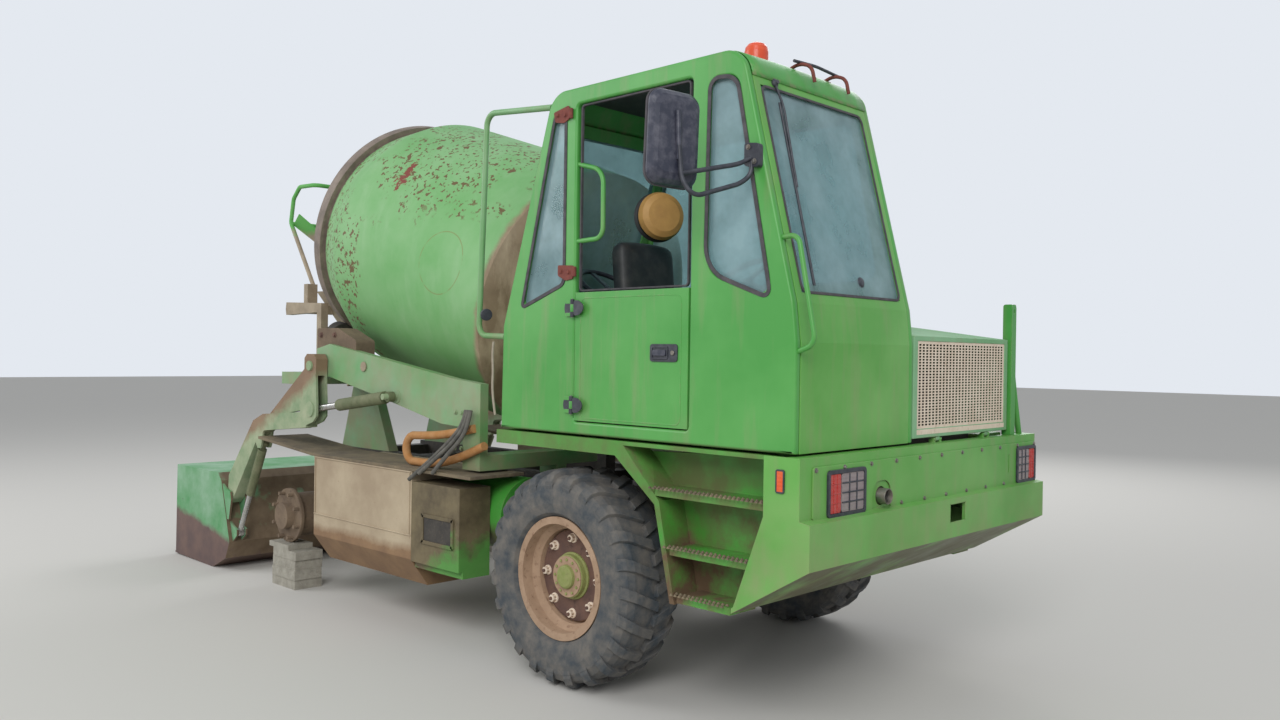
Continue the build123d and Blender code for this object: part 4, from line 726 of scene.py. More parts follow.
# %% Hinge covers, hinge plates and handle
HINGES = (1520, 2030)
for low in HINGES:
    for side, body, y, (x0, x1, x2), h1, h2 in (("door", "door", -1192, (122, 160, 196), 40, 16),
                                                ("pillar", "chassis", -1181, (98, 58, 40), 42, 18)):
        cover = [(x0, low - h1), (x1, low - h1), (x2, low - h2), (x2, low + h2), (x1, low + h1), (x0, low + h1)]
        plate("hinge_cover_%s_%d" % (side, low), on_side(cover, y), 5, black_abs, body, radius=14)
for number, (x, z, tilt) in enumerate(((-8, 3060, 8), (34, 2222, -6))):
    a = radians(tilt)
    outline = [(x + dx * cos(a) - dz * sin(a), z + dx * sin(a) + dz * cos(a))
               for dx, dz in ((-62, 34), (58, 40), (64, -30), (10, -44), (-56, -22))]
    plate("old_hinge_plate_%d" % number, on_side(outline, CAB_NEAR - 4), 8, rust_red, radius=9)
    bolts("old_hinge_bolts_%d" % number, on_side([(x + 30, z), (x - 30, z + 6)], CAB_NEAR - 8), (0, -1, 0), 20, 9,
          rust_red, washer=28)
    turned_part("old_hinge_eye_%d" % number, (x + 78, CAB_NEAR - 14, z - 26), (0, 0, 1),
                [(0, 9), (0, 13), (52, 13), (52, 9)], rust_red, sides=20)
plate("door_handle_plate", on_side(oblong(661, 841, 1757, 1843), -1172), 8, black_abs, "door", radius=16)
ring("door_handle_rim", on_side(oblong(672, 782, 1768, 1832), -1177), 0, 8, 6, black_abs, "door", radius=10)
plate("door_handle_grip", on_side(oblong(684, 770, 1786, 1814), -1179), 9, mirror_back, "door", radius=8)
turned_part("door_lock", (812, -1176, 1800), (0, -1, 0), [(0, 12), (4, 12), (6, 9), (6, 4)], bare_steel, "door",
            sides=24)
ring("door_pressing", on_side(oblong(150, 862, 1450, 2085), -1170), 0, 7, 3, cab_green, "door", 40)
print("door furniture made")

# %% [markdown]
# ## Wiper, washer cap, brackets and reflector
# The wiper hangs on a spindle at the top of the windscreen and its long blade rests on the near
# side of the glass. Two rusty brackets over the screen once held a visor.

# %% Wiper and the small things on the cab's face
WIPER_Y = -1000
SCREEN_OUT = (1, 0, 0.26)    # the way the windscreen faces
blade = [(screen_x(z) + 16, WIPER_Y + (z - 2150) * 0.02, z) for z in (2960, 2110)]
bar("wiper_blade", [blade], 7, black_abs)
arm = [(screen_x(3070) + 12, -975, 3050), (screen_x(2960) + 40, -985, 2940),
       (screen_x(2560) + 24, WIPER_Y + 8, 2560)]
bar("wiper_arm", [arm], 6, black_abs, bend=40)
turned_part("wiper_spindle", (screen_x(3062) - 4, -975, 3055), SCREEN_OUT,
            [(0, 20), (16, 20), (22, 12), (30, 10), (30, 4)], black_abs, sides=24)
turned_part("washer_cap", (1453, -557, 2149), SCREEN_OUT, [(0, 26), (10, 26), (16, 18), (18, 6)], black_abs,
            sides=28)
for number, y in enumerate((-690, -390)):
    foot = [(1150, y - 22, 3197), (1150, y + 22, 3197), (1060, y + 22, 3199), (1060, y - 22, 3199)]
    plate("visor_foot_%d" % number, foot, 6, rust_red)
    bar("visor_bracket_%d" % number, [[(1110, y, 3199), (1178, y, 3222), (1252, y, 3196), (1262, y + 12, 3120)]],
        9, rust_red, bend=30)
bar("visor_rail", [[(1180, -735, 3226), (1190, -560, 3232), (1180, -335, 3226)]], 8, black_abs)
reflector = on_side(oblong(1455, 1494, 1201, 1297), -1203)
plate("side_reflector", reflector, 6, orange_reflector, radius=6)
ring("side_reflector_frame", reflector, 4, 4, 8, black_abs, radius=6)
print("wiper, brackets and reflector made")

# %% [markdown]
# ## Lamps in the service panel
# Each lamp is a black moulded frame with a red square outboard and a clear one inboard, behind
# ribbed lenses. The panel itself is held by a row of screws.

# %% Lamps and panel screws
LAMPS = (("near", -1000, -700), ("far", 935, 1175))
RED_SHARE = 0.34             # of a lamp's width
LENS_Z0, LENS_Z1 = 1098, 1272
for name, y0, y1 in LAMPS:
    near = name == "near"
    split = y0 + (y1 - y0) * (RED_SHARE if near else 1 - RED_SHARE)
    ring("lamp_frame_" + name, on_front(oblong(y0, y1, 1085, 1285), PANEL_FACE + 4), 6, 12, 18, black_abs,
         radius=14)
    glasses = (red_lens, grey_lens) if near else (grey_lens, red_lens)
    for kind, low, high, glass in zip("ab", (y0 + 12, split + 4), (split - 4, y1 - 12), glasses):
        plate("lamp_lens_%s_%s" % (name, kind), on_front(oblong(low, high, LENS_Z0, LENS_Z1), PANEL_FACE + 3), 12,
              glass, radius=10)
        grid = []
        for step in (1, 2):
            y = low + (high - low) * step / 3
            grid.append(on_front([(y, LENS_Z0 + 3), (y, LENS_Z1 - 3)], PANEL_FACE + 10))
        for step in (1, 2, 3):
            z = LENS_Z0 + (LENS_Z1 - LENS_Z0) * step / 4
            grid.append(on_front([(low + 2, z), (high - 2, z)], PANEL_FACE + 10))
        red = glass is red_lens
        bar("lamp_ribs_%s_%s" % (name, kind), grid, 1.8 if red else 3.4, glass if red else black_abs)
screws = [(y, 1298) for y in range(-1090, 1171, 226)] + [(y, 1092) for y in range(-360, 900, 226)]
bolts("service_panel_screws", on_front(screws, PANEL_FACE + 2), (1, 0, 0), 17, 7, bare_steel, washer=24)
print("lamps made")

# %% [markdown]
# ## Fine grille
# The real grille is a punched sheet with some 750 oblong holes. The solid has a coarser set of
# holes, so a finer sheet stands in for it: a lattice of thin strips with every hole left out.

# %% Fine grille
grille_low, grille_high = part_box("radiator_grille")
COLUMNS, ROWS, OPEN_Y, OPEN_Z = 27, 28, 0.68, 0.62
GRILLE_RIM, GRILLE_SHEET = 0.012, 2.5


def cuts(start, end, count, share):
    """Where the holes of one row begin and end, between the two edges of the sheet."""
    pitch = (end - start - 2 * GRILLE_RIM) / count
    lines = [start]
    for i in range(count):
        middle = start + GRILLE_RIM + pitch * (i + 0.5)
        lines += [middle - pitch * share / 2, middle + pitch * share / 2]
    return lines + [end]


line_y = cuts(grille_low.y, grille_high.y, COLUMNS, OPEN_Y)
line_z = cuts(grille_low.z, grille_high.z, ROWS, OPEN_Z)
bm = bmesh.new()
lattice = [[bm.verts.new((grille_high.x - GRILLE_SHEET * MM, y, z)) for z in line_z] for y in line_y]
for i in range(len(line_y) - 1):
    for j in range(len(line_z) - 1):
        if i % 2 == 0 or j % 2 == 0:
            bm.faces.new((lattice[i][j], lattice[i + 1][j], lattice[i + 1][j + 1], lattice[i][j + 1]))
thicken(bm, Vector((1, 0, 0)), GRILLE_SHEET)
fine_grille = keep("fine_grille", bm, cream_paint, "hood")
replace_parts(fine_grille, "radiator_grille")
print("grille holes:", COLUMNS * ROWS, "faces:", len(fine_grille.data.polygons))
plate("grille_bottom_bar", on_front(oblong(-112, 893, 1402, 1428), 1519), 9, cream_paint, "hood", radius=4)

# %% [markdown]
# ## Pressed cab panels
# The cab is welded from thick pressed panels whose outer rim is rolled over. The solids have
# square corners, so rounded panels stand in for the side walls, the rear wall and the roof. A
# flat Bezier curve with inner loops fills itself and leaves the loops open, which cuts the
# windows and the doorway, and its bevel rolls every rim.

# %% Panels with openings
ARC_PULL = 0.5523            # handle length of a Bezier quarter turn of radius 1


def rounded_loop(curve, points, radii):
    """Add a closed loop to a flat curve, with each corner rounded by its own radius."""
    spline = curve.splines.new("BEZIER")
    count = len(points)
    spline.bezier_points.add(2 * count - 1)
    flat = [Vector((x * MM, y * MM, 0)) for x, y in points]
    for i, here in enumerate(flat):
        radius = (radii[i] if isinstance(radii, list) else radii) * MM
        back, on = flat[i - 1] - here, flat[(i + 1) % count] - here
        half = back.angle(on) / 2
        reach = min(radius / tan(half), back.length * 0.49, on.length * 0.49)
        pull = reach * ARC_PULL * (1 + 0.1 * cos(2 * half))
        for knot, way, inner in ((2 * i, back, "handle_right"), (2 * i + 1, on, "handle_left")):
            point = spline.bezier_points[knot]
            point.co = here + way.normalized() * reach
            point.handle_left_type = point.handle_right_type = "FREE"
            point.handle_left = point.handle_right = point.co
            setattr(point, inner, point.co - way.normalized() * pull)
    spline.use_cyclic_u = True


def panel(name, start, along, up, outer, radii, holes, thick, rim, material):
    """A panel in any plane. Start, along and up give its corner and its two directions."""
    curve = bpy.data.curves.new(name, "CURVE")
    curve.dimensions = "2D"
    curve.fill_mode = "BOTH"
    curve.resolution_u = 8
    curve.extrude = (thick / 2 - rim) * MM
    curve.bevel_depth = rim * MM
    curve.bevel_resolution = 3
    curve.offset = -rim * MM
    for points, rounding in [(outer, radii)] + holes:
        rounded_loop(curve, points, rounding)
    drawn = new_object(name + "_outline", curve)
    across, rise = Vector(along).normalized(), Vector(up).normalized()
    turn = Matrix((across, rise, across.cross(rise))).transposed().to_4x4()
    bpy.context.view_layer.update()
    mesh = bpy.data.meshes.new_from_object(drawn.evaluated_get(bpy.context.evaluated_depsgraph_get()))
    mesh.transform(Matrix.Translation(at(*start)) @ turn)
    bpy.data.objects.remove(drawn)
    mesh.materials.clear()
    return keep(name, mesh, material)


ALONG, ACROSS, UP = (1, 0, 0), (0, 1, 0), (0, 0, 1)
ROOF_TOP, CAP_LOW, ROOF_ROUND = 3195, 3070, 130
CAB_SIDE = [(-505, 1365), (-495, 1940), (rear_x(ROOF_TOP), ROOF_TOP), (screen_x(ROOF_TOP), ROOF_TOP), (1503, 2030),
            (1523, 1855), (1523, 1365)]
SIDE_RADII = [6, 60, ROOF_ROUND, ROOF_ROUND, 60, 60, 6]
WALL, WALL_RIM, PANE_T, PANE_RIM = 40, 13, 26, 4
near_wall = panel("cab_near_panel", (0, DOOR_SKIN, 0), ALONG, UP, CAB_SIDE, SIDE_RADII,
                  [(REAR_WINDOW, 38), (FRONT_WINDOW, FRONT_ROUND), (oblong(105, 910, 1432, 3105), 24)], WALL, WALL_RIM,
                  cab_green)
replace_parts(near_wall, "cab_near_side")
far_wall = panel("cab_far_panel", (0, -175, 0), ALONG, UP, CAB_SIDE, SIDE_RADII, [(FAR_WINDOW, 70)], WALL, WALL_RIM,
                 cab_green)
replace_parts(far_wall, "cab_far_side")
lean = Vector((REAR_LEAN, 0, 1)).normalized()
outward = lean.cross(Vector(ACROSS)).normalized() * -14
rear_start = [a + b for a, b in zip((rear_x(2530), -662.5, 2530), outward)]
rear_panel = panel("cab_rear_panel", rear_start, ACROSS, lean, oblong(-467, 467, -615, 572), 4,
                   [(oblong(-407, 407, -503, 503), 60)], PANE_T, PANE_RIM, cab_green)
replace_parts(rear_panel, "cab_rear")
panel("cab_rear_low_panel", (-487, -662.5, 1655), ACROSS, UP, oblong(-467, 467, -288, 292), 4, [], 22, 4, cab_green)
print("cab panels made")

# %% [markdown]
# ## Roof cap
# The roof is one sheet that follows the rolled top of the side walls, with a slight crown so
# that rain runs off. It is a row of cross strips along the rounded outline, then thickened.

# %% Roof cap
def corner_arc(before, corner, after, radius, steps=10):
    """Points of the arc that rounds a corner of a flat outline."""
    here = Vector(corner)
    back, on = (Vector(before) - here).normalized(), (Vector(after) - here).normalized()
    half = back.angle(on) / 2
    middle = here + (back + on).normalized() * radius / sin(half)
    arm = here + back * radius / tan(half) - middle
    turn = (pi - 2 * half) * (1 if back.x * on.y - back.y * on.x < 0 else -1)
    return [middle + Matrix.Rotation(turn * i / steps, 2) @ arm for i in range(steps + 1)]


CROWN, STRIPS = 9, 12
ROOF_NEAR, ROOF_FAR = -1134, -191
outline_top = [(rear_x(CAP_LOW), CAP_LOW), *corner_arc(*CAB_SIDE[1:4], ROOF_ROUND),
               *corner_arc(*CAB_SIDE[2:5], ROOF_ROUND), (screen_x(CAP_LOW), CAP_LOW)]
bm = bmesh.new()
strips = []
for j in range(STRIPS + 1):
    t = j / STRIPS
    y = ROOF_NEAR + (ROOF_FAR - ROOF_NEAR) * t
    crown = CROWN * (1 - (2 * t - 1) ** 2)
    strips.append([bm.verts.new(at(x, y, z - 3 + crown * min(1, max(0, (z - CAP_LOW) / 100))))
                   for x, z in outline_top])
for low, high in zip(strips, strips[1:]):
    for i in range(len(low) - 1):
        bm.faces.new((low[i], high[i], high[i + 1], low[i + 1]))
roof_cap = keep("cab_roof_cap", bm, cab_green, smooth=True)
roof_cap.modifiers.new("sheet", "SOLIDIFY").thickness = 0.006
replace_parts(roof_cap, "cab_roof")
header = [(screen_x(z) - back, y, z) for y, z, back in ((-1128, 3052, 16), (-1128, 3086, 14), (-197, 3086, 14),
                                                        (-197, 3052, 16))]
plate("header_over_screen", header, 24, cab_green)
plate("roof_lining", laid_flat([(40, -1126), (1090, -1126), (1090, -199), (40, -199)], 3148), 8, vinyl,
      radius=50)
print("roof strips:", len(strips), "points along:", len(outline_top))

# %% [markdown]
# ## Hinge pins, grab rails and the mirror's post
# The door turns on two short pins. A green rail is bent round the front pillar, another stands
# inside the doorway, and a third steadies the far mirror's post.

# %% Pins and rails
for low in HINGES:
    for base in (low - 46, low + 21):
        turned_part("hinge_knuckle_%d" % base, (105, -1186, base), UP, [(0, 8), (0, 12), (25, 12), (25, 8)],
                    black_abs, sides=20)
        plate("hinge_leaf_%d" % base, on_side(oblong(50, 102, base + 3, base + 22), -1178), 14, cab_green, radius=4)
    turned_part("hinge_pin_%d" % low, (105, -1186, low - 50), UP,
                [(0, 3), (0, 7), (4, 7), (5, 4.6), (96, 4.6), (97, 6), (100, 5)], bare_steel, sides=16)
bar("pillar_grab_rail", [[(screen_x(2316) - 8, -1146, 2316), (1515, -1150, 2322), (1612, -1150, 1845),
                          (1515, -1148, 1812)]], 12, cab_green, bend=55)
bar("doorway_grab_handle", [[(100, -1148, 2792), (250, -1150, 2752), (290, -1150, 2700), (293, -1150, 2390),
                             (100, -1150, 2384)]], 13, cab_green, bend=55)
panel("mirror_post_front", (1537, 974, 1733), ACROSS, UP, oblong(-29, 29, -378, 379), [6, 24, 24, 6],
      [(oblong(-6, 6, 330, 350), 5)], 6, 1.5, cab_green)
for y in (948, 1000):
    panel("mirror_post_side_%d" % y, (1511, y, 1733), ALONG, UP, oblong(-26, 26, -378, 379), [4, 14, 4, 4], [], 6,
          1.5, cab_green)
bar("mirror_post_rail", [[(1511, 990, 1915), (1511, 1021, 1700), (1511, 1125, 1352)]], 17, cab_green, bend=120)
print("rails made")

# %% [markdown]
# ## Service panel on the front
# Under the cab a raised panel is screwed to the face. It is cut out round both lamps and has an
# arch over the exhaust, and a slot for a key near the far lamp.

# %% Service panel
ARCH_LEFT, ARCH_RIGHT, ARCH_TOP = -622, -458, 1212
face_loop = [(-1110, 1079), (ARCH_LEFT, 1079), (ARCH_LEFT, ARCH_TOP), (ARCH_RIGHT, ARCH_TOP), (ARCH_RIGHT, 1079),
             (1186, 1079), (1186, 1312), (-1110, 1312)]
face_holes = [(oblong(y0, y1, 1086, 1284), 12) for name, y0, y1 in LAMPS] + [(oblong(832, 842, 1148, 1252), 4)]
panel("service_panel", (1579, 0, 0), ACROSS, UP, face_loop, [16, 8, 76, 76, 8, 16, 16, 16], face_holes, 8, 2,
      front_green)
ring("tow_pocket_lip", on_front(oblong(46, 224, 946, 1054), 1628), 3, 9, 3, front_green,
     radius=4)
bolts("tow_pin_holes", on_front([(-12, 1040), (280, 1040)], 1626), ALONG, 17, 3, black_abs, washer=24)
print("service panel made")

# %% [markdown]
# ## Lugged tyres
# These are tyres for soft ground: two rows of tall slanting lugs meet in the middle of the tread
# and run down over the shoulders. Each carcass is spun from a profile, and every lug is a block
# in seven stations that follows the round of the tyre. The dressed tyres replace the plain ones.

# %% Lugged tyres
LUGS, LUG_WIDE, LUG_SKEW, LUG_TALL = 23, 62, 96, 26
AROUND = 120                 # flats round the carcass


def lugged_tyre(node, body, outboard):
    low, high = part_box(node)
    middle = (low + high) / 2
    half = (high.y - low.y) / 2 / MM
    reach = (high.z - low.z) / 2 / MM
    base = reach - LUG_TALL
    bm = bmesh.new()

    def corner(angle, across, radius):
        spoke = Vector((radius * cos(angle), across, radius * sin(angle)))
        return bm.verts.new(middle + spoke * MM)

    flank = [(44, 332), (16, 352), (3, 400), (0, 450), (6, 500), (26, base - 22), (62, base - 4), (120, base)]
    profile = [(inset - half, radius) for inset, radius in flank]
    profile += [(half - inset, radius) for inset, radius in reversed(flank)]
    turns = [2 * pi * i / AROUND for i in range(AROUND)]
    skin(bm, [[corner(a, across, radius) for a in turns] for across, radius in profile], closed=False)
    # Each station of a lug: how far out it lies, its top, its foot and its share of the width
    stations = ((-8, reach - 0.5, base - 6, 1.0), (60, reach - 0.5, base - 6, 1.0), (118, reach - 2, base - 8, 1.0),
                (half - 50, reach - 9, base - 16, 1.08), (half - 16, reach - 30, base - 44, 1.16),
                (half - 1, reach - 66, reach - 84, 1.2), (half - 5, reach - 108, reach - 118, 1.1))
    for side in (-1, 1):
        for k in range(LUGS):
            start = 2 * pi * (k + (0.5 if side > 0 else 0)) / LUGS
            rows = []
            for across, top, foot, spread in stations:
                a = start + LUG_SKEW * max(0, across) / half / reach
                grow = LUG_WIDE * spread / 2 / reach
                rows.append([corner(a + grow * share, side * across * outboard, radius)
                             for share, radius in ((-1, foot), (-0.86, top), (0.86, top), (1, foot))])
            skin(bm, rows)
    bmesh.ops.recalc_face_normals(bm, faces=bm.faces[:])
    made = keep(node + "_lugged", bm, tyre_rubber, body, 2.5)
    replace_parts(made, node)
    print(made.name, "faces:", len(made.data.polygons))


lugged_tyre("tyre_near", "wheel_near", -1)
lugged_tyre("tyre_far", "wheel_far", 1)

# %% [markdown]
# ## Wheel centres
# The wheel is a deep dish. Eight pale nuts sit in a ring on a dark rusty disc, round an olive
# hub with a stepped cap. A valve stem pokes out beside the rim.

# %% Hubs, nuts and studs
HUB_FACE, HUB_Z = 1051, 585


def circle_of(count, radius, y):
    """Places evenly round the hub."""
    turns = [2 * pi * i / count for i in range(count)]
    return [(cos(a) * radius, y, HUB_Z + sin(a) * radius) for a in turns]


for name, sign in (("near", -1), ("far", 1)):
    body, way, face = "wheel_" + name, (0, sign, 0), sign * HUB_FACE
    turned_part("hub_" + name, (0, face, HUB_Z), way, [(-1, 128), (14, 128), (18, 118), (44, 116), (50, 104),
                (52, 66), (70, 62), (76, 52), (78, 20)], hub_olive, body)
    turned_part("hub_disc_" + name, (0, face, HUB_Z), way, [(-1, 150), (-1, 238), (3, 244), (5, 236), (5, 150)],
                rusty_steel, body, 60)
    bolts("hub_bolts_" + name, circle_of(12, 92, face + sign * 51), way, 17, 8, hub_olive, body)
    bolts("wheel_nuts_" + name, circle_of(8, 205, face + sign * 5), way, 44, 30, cream_paint, body,
          56)
    bolts("wheel_studs_" + name, circle_of(8, 205, face + sign * 30), way, 20, 16, rusty_steel, body)
    bar("valve_" + name, [[(200, sign * 1064, 785), (212, sign * 1120, 802)]], 5, bare_steel, body)
print("wheel centres made")

# %% [markdown]
# ## Seat
# The driver's seat is a black vinyl shell with a foam cushion and back, and a round tan cushion
# tied to the back as a headrest. Foam under vinyl has fat soft edges, so each pad is a box whose
# corners are rounded far and which swells a little.

# %% Seat pads
def pad(name, centre, size, tilt, round_mm=45, swell=0.06):
    """A stuffed box: rounded edges, faces that swell, leaned about the y direction."""
    bm = bmesh.new()
    bmesh.ops.create_cube(bm, size=1)
    bmesh.ops.subdivide_edges(bm, edges=bm.edges[:], cuts=9, use_grid_fill=True)
    half = Vector(size) / 2 * MM
    r = round_mm * MM
    turn = Matrix.Rotation(radians(tilt), 3, "Y")
    for v in bm.verts:
        p = v.co * 2
        flat = Vector([share * h for share, h in zip(p, half)])
        core = Vector([max(-h + r, min(h - r, c)) for c, h in zip(flat, half)])
        out = flat - core
        if out.length > 0:
            out = out.normalized() * r
        bulge = swell * (1 - p.y * p.y) * ((1 - p.x * p.x) + (1 - p.z * p.z))
        v.co = turn @ ((core + out) * (1 + min(bulge, swell))) + at(*centre)
    made = keep(name, bm, vinyl, smooth=True)
    return made


SEAT_Y = -662
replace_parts(pad("seat_cushion", (275, SEAT_Y, 1775), (480, 460, 120), -4), "driver_seat")
pad("seat_back", (135, SEAT_Y, 2120), (110, 430, 560), -6)
for name, y in (("seat_bolster_898", -886), ("seat_bolster_426", -438)):
    pad(name, (250, y, 1812), (400, 60, 80), -4, 28)
plate("seat_pedestal", laid_flat([(90, -800), (410, -800), (410, -525), (90, -525)], 1562), 300, greasy_steel,
      radius=20)
for name, material, outline in (
        ("tan_headrest", tan_vinyl, [(-52, 30), (-50, 92), (-34, 122), (0, 134), (34, 122), (50, 92), (54, 30)]),
        ("headrest_rim", vinyl, [(-66, 96), (-64, 128), (-52, 140), (-40, 128), (-42, 96)])):
    turned_part(name, (246, SEAT_Y, 2558), (0.9, -0.42, 0.05), outline, material, sides=48)
print("seat made")

# %% [markdown]
# ## Mirror
# The mirror is a moulded dish with a rubber lip, seen from behind. Two bent tubes hold it from a
# bracket on the front pillar; the upright one is clamped to its back along a rib.

# %% Mirror shell and tubes
MIRROR, MIRROR_TURN, MIRROR_ROLL = (1088, -1504, 2735), -14, -2


def mirror_part(name, wide, tall, radius, depths, material):
    """A rounded rectangle drawn out in steps of (depth, share of its size) and closed."""
    place = (Matrix.Translation(at(*MIRROR)) @ Matrix.Rotation(radians(MIRROR_TURN), 4, "Z")
             @ Matrix.Rotation(radians(MIRROR_ROLL), 4, "X"))
    bm = bmesh.new()
    rows = []
    for depth, share in depths:
        w, h = wide / 2 * share, tall / 2 * share
        r = min(radius * share, w - 1, h - 1)
        row = []
        for y, z, first in ((1, 1, 0), (-1, 1, 90), (-1, -1, 180), (1, -1, 270)):
            for k in range(7):
                a = radians(first + 15 * k)
                spot = Vector((depth, y * (w - r) + r * cos(a), z * (h - r) + r * sin(a)))
                row.append(bm.verts.new(place @ (spot * MM)))
        rows.append(row)
    skin(bm, rows)
    return keep(name, bm, material, edge_mm=1.5)


shell = mirror_part("mirror_shell", 262, 418, 62, [(-14, 0.9), (-14, 1.0), (8, 1.0), (18, 0.97), (34, 0.88),
                                                   (42, 0.74), (44, 0.3)], mirror_back)
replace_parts(shell, "mirror")
mirror_part("mirror_lip", 270, 426, 66, [(-16, 0.93), (-17, 1.0), (-4, 1.0), (-3, 0.96)], seal_rubber)
mirror_part("mirror_glass", 250, 406, 56, [(-19, 0.98), (-17, 1.0), (-15, 0.98)], chrome_rod)
bar("mirror_rib", [[(1136, -1520, 2850), (1138, -1512, 2640)]], 13, mirror_back)
bar("mirror_tubes", [[(1140, -1516, 2700), (1150, -1508, 2545), (1190, -1470, 2478), (1268, -1245, 2556),
                      (1290, -1200, 2600), (1290, -1196, 2660)],
                     [(1142, -1500, 2580), (1262, -1250, 2642), (1290, -1196, 2676)]], 11, black_abs, bend=55)
plate("mirror_bracket", on_side([(1252, 2640), (1252, 2745), (1332, 2735), (1332, 2628)], -1188), 34, black_abs,
      radius=14)
bolts("mirror_bracket_bolts", on_side([(1275, 2722), (1310, 2655)], -1206), (0, -1, 0), 18, 8, bare_steel,
      washer=26)
print("mirror made")

# %% [markdown]
# ## Beacon
# The warning beacon is an orange dome on a black foot.

# %% Beacon dome
dome = [(14, 54), (18, 60), (70, 60), (92, 55), (108, 42), (117, 22), (119.5, 6)]
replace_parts(turned_part("beacon_dome", (1000, -800, 3215.4), UP, dome, beacon_lens, sides=56), "beacon")
turned_part("beacon_foot", (1000, -800, 3194), UP, [(0, 44), (0, 61), (16, 61), (22, 56), (36, 56), (38, 50)],
            black_abs, sides=56)
print("beacon made")

# %% [markdown]
# ## Head blocks, battery lid and tank seams
# The head block on each side of the cradle stands over the loader's upper pivot, with bolts in
# its face. The battery box has a framed lid, and welded seams run along the water tank.

# %% Cradle and tank details
for sign, name in ((-1, "near"), (1, "far")):
    way = (0, sign, 0)
    stay = [(-2850, 1700), (-2850, 1950), (-2560, 1950), (-2310, 1860), (-2310, 1700)]
    plate("head_block_" + name, on_side(stay, sign * 955), 150, brown_steel, radius=20)
    bolts("head_block_bolts_" + name, on_side([(-2790, 1740), (-2790, 1900), (-2600, 1900), (-2400, 1760)],
          sign * 1031), way, 30, 14, rusty_steel, washer=44)
    turned_part("beam_clip_" + name, (-2150, sign * 1062, 1680), way, [(0, 34), (8, 34), (10, 26), (10, 12)],
                mortar, sides=28)
    bolts("beam_bolts_" + name, on_side([(-1085, 1200), (-1085, 1420), (-1020, 1200), (-1020, 1420)], sign * 1062),
          way, 22, 10, cradle_green, washer=34)
ring("battery_lid_frame", on_side(oblong(-1225, -895, 610, 795), -1204), 0, 22, 12, battery_paint,
     radius=10)
plate("battery_lid", on_side(oblong(-1203, -917, 632, 773), -1202), 4, greasy_steel, radius=6)
seams = [on_side([(-2550, z), (-1350, z)], -1202) for z in (1036, 640)]
bar("tank_seams", seams, 5, tank_skin)
welds = [on_side([(x, 650), (x, 1030)], -1203) for x in (-2540, -1365)]
bar("tank_corner_welds", welds, 5, tank_skin)
print("cradle and tank details made")

# %% [markdown]
# ## Step treads
# The steps up to the cab are folded plates with a row of punched teeth along the front edge, so
# that muddy boots grip. The teeth are short upright wedges in one joined mesh.

# %% Serrated step edges
TOOTH_PITCH = 26


def tooth_ring(bm, x, y, z, dx, dy):
    return [bm.verts.new(at(x + a * dx, y + b * dy, z)) for a, b in ((-1, -1), (1, -1), (1, 1), (-1, 1))]


bm = bmesh.new()
for z, x0, x1 in ((1138, 674, 1382), (862, 776, 1359), (640, 825, 1182)):
    for k in range(int((x1 - x0) / TOOTH_PITCH)):
        for y in (-1190, -1150):
            x = x0 + TOOTH_PITCH * (k + 0.5)
            skin(bm, [tooth_ring(bm, x, y, z + 1, 9, 5), tooth_ring(bm, x, y, z + 11, 3, 3)])
teeth = keep("step_teeth", bm, guard_dust)
print("step teeth:", len(teeth.data.polygons) // 6)

# %% [markdown]
# ## Hoses
# Behind the cab an orange suction hose lies in a loop on the mudguard, and three grey hydraulic
# hoses hang loose over the tank. Each is a smooth curve through a few points; a round bevel gives
# it its thickness.

# %% Loose hoses
def hose(name, points, diameter, material):
    """A hose along one smooth curve. The points are in the machine's millimetres."""
    curve = round_curve(name, diameter / 2, 5)
    spline = curve.splines.new("NURBS")
    spline.points.add(len(points) - 1)
    for point, place in zip(spline.points, points):
        point.co = (*at(*place), 1)
    spline.order_u = 3
    spline.use_endpoint_u = True
    spline.resolution_u = 12
    return keep(name, curve, material)


def measured(points, steps=32):
    """Length of the smooth curve of order 3 through these control points, in metres."""
    spots = [at(*p) for p in points]
    joints = [spots[0]] + [(a + b) / 2 for a, b in zip(spots[1:-2], spots[2:-1])] + [spots[-1]]
    total, last = 0.0, spots[0]
    for start, pull, end in zip(joints, spots[1:], joints[1:]):
        for k in range(1, steps + 1):
            t = k / steps
            here = start * (1 - t) ** 2 + pull * 2 * t * (1 - t) + end * t ** 2
            total += (here - last).length
            last = here
    return total


LOOP = [(-760, -1085, 1235), (-900, -1092, 1178), (-1130, -1098, 1108), (-1300, -1100, 1088),
        (-1447, -1100, 1088), (-1513, -1100, 1088), (-1562, -1099, 1136), (-1562, -1097, 1204),
        (-1513, -1094, 1252), (-1447, -1090, 1254), (-1230, -1080, 1268), (-1030, -1075, 1300),
        (-880, -1070, 1330)]
suction = hose("suction_hose", LOOP, 52, suction_hose)
measured(LOOP)
print("suction hose, m:", round(measured(LOOP), 3))
for number, lower in enumerate((((-975, -1170, 1262), (-1180, -1196, 1108), (-1367, -1204, 990)),
                                ((-925, -1178, 1262), (-1100, -1206, 1130), (-1248, -1212, 1039)),
                                ((-880, -1166, 1270), (-1000, -1204, 1150), (-1100, -1216, 1052)))):
    path = [(-930 + 22 * number, -1096, 1440), (-925 + 24 * number, -1120, 1360), *lower]
    pipe = hose("pressure_hose_%d" % number, path, 26, hose_rubber)
    measured(path)
print("hoses made")

# %% [markdown]
# ## Cable and work lamp behind the cab
# A pale cable hangs down the cab's rear corner, and a small black work lamp sits on a stay that
# is clamped to the guard tube.

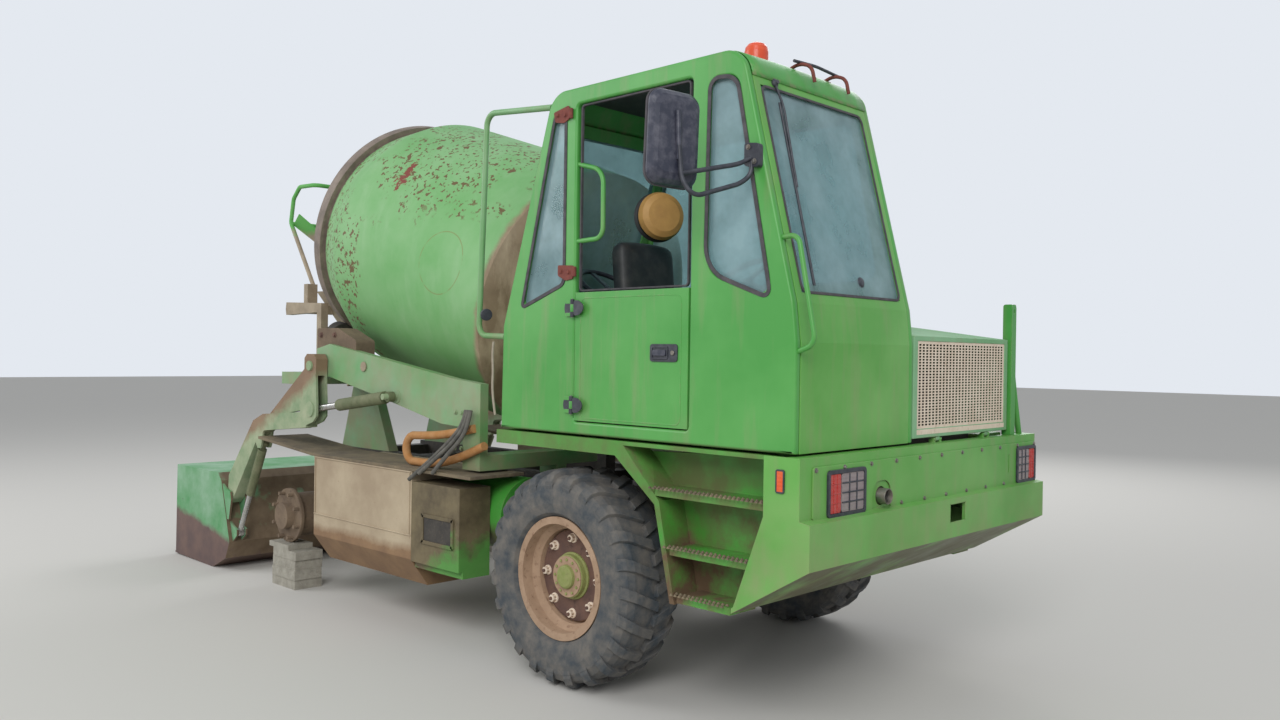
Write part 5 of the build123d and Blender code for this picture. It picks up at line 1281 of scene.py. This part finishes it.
# %% Cable and work lamp
CABLE = [(-560, -1184, 1852), (-566, -1188, 1790), (-556, -1188, 1690), (-562, -1188, 1590), (-548, -1188, 1500),
         (-538, -1184, 1436)]
cable = hose("corner_cable", CABLE, 14, cable_jacket)
measured(CABLE)
bar("work_lamp_stay", [[(-742, -1150, 2012), (-690, -1148, 2012)]], 8, black_abs)
turned_part("work_lamp", (-690, -1148, 2012), (0.9, -0.4, -0.1), [(-14, 14), (-12, 26), (22, 34), (34, 35),
            (36, 31)], black_abs, sides=32)
print("cable, m:", round(measured(CABLE), 3))

# %% [markdown]
# ## Studio
# A pale floor, an even pale sky and three large soft lamps show the colours about as they are
# written, with soft shadows under the machine.

# %% Floor, sky and lamps
FLOOR_REACH, LAMP_SIZE, AIM = 60, 7, Vector((0, 0, 1.3))
floor_mesh = bpy.data.meshes.new("studio_floor")
floor_mesh.from_pydata([(x * FLOOR_REACH, y * FLOOR_REACH, 0) for x, y in ((-1, -1), (1, -1), (1, 1), (-1, 1))], [],
                       [(0, 1, 2, 3)])
floor = new_object("studio_floor", floor_mesh)
paper = Coat("matt_studio_paper")
paper.set(Base_Color="#CFCDC8", Roughness=0.95)
floor.data.materials.append(paper.material)

world = bpy.data.worlds.new("studio_sky")
world.use_nodes = True
sky = world.node_tree
sky.nodes.clear()
rays = add(sky, "LightPath").outputs
indirect = add(sky, "Math", {0: rays["Is Glossy Ray"], 1: rays["Is Transmission Ray"]}, operation="MAXIMUM")
seen = add(sky, "Math", {0: rays["Is Camera Ray"], 1: indirect.outputs[0]}, operation="MAXIMUM")
fill = add(sky, "Background", {"Color": "#F1F4F8", "Strength": 0.55})
seen_sky = add(sky, "Background", {"Color": "#E4E9F0", "Strength": 1.0})
both = add(sky, "MixShader", {0: seen.outputs[0], 1: fill.outputs[0], 2: seen_sky.outputs[0]})
add(sky, "OutputWorld", {"Surface": both.outputs[0]})
bpy.context.scene.world = world
for name, place, watts in (("key_lamp", (9, -11, 9), 1150), ("fill_lamp", (-9, -9, 7), 500),
                           ("back_lamp", (-3, 11, 8), 480)):
    lamp = new_object(name, bpy.data.lights.new(name, "AREA"))
    lamp.data.size = LAMP_SIZE
    lamp.data.energy = watts
    lamp.location = place
    lamp.rotation_mode = "QUATERNION"
    lamp.rotation_quaternion = (AIM - Vector(place)).to_track_quat("-Z", "Y")
bpy.context.scene.view_settings.view_transform = "Standard"
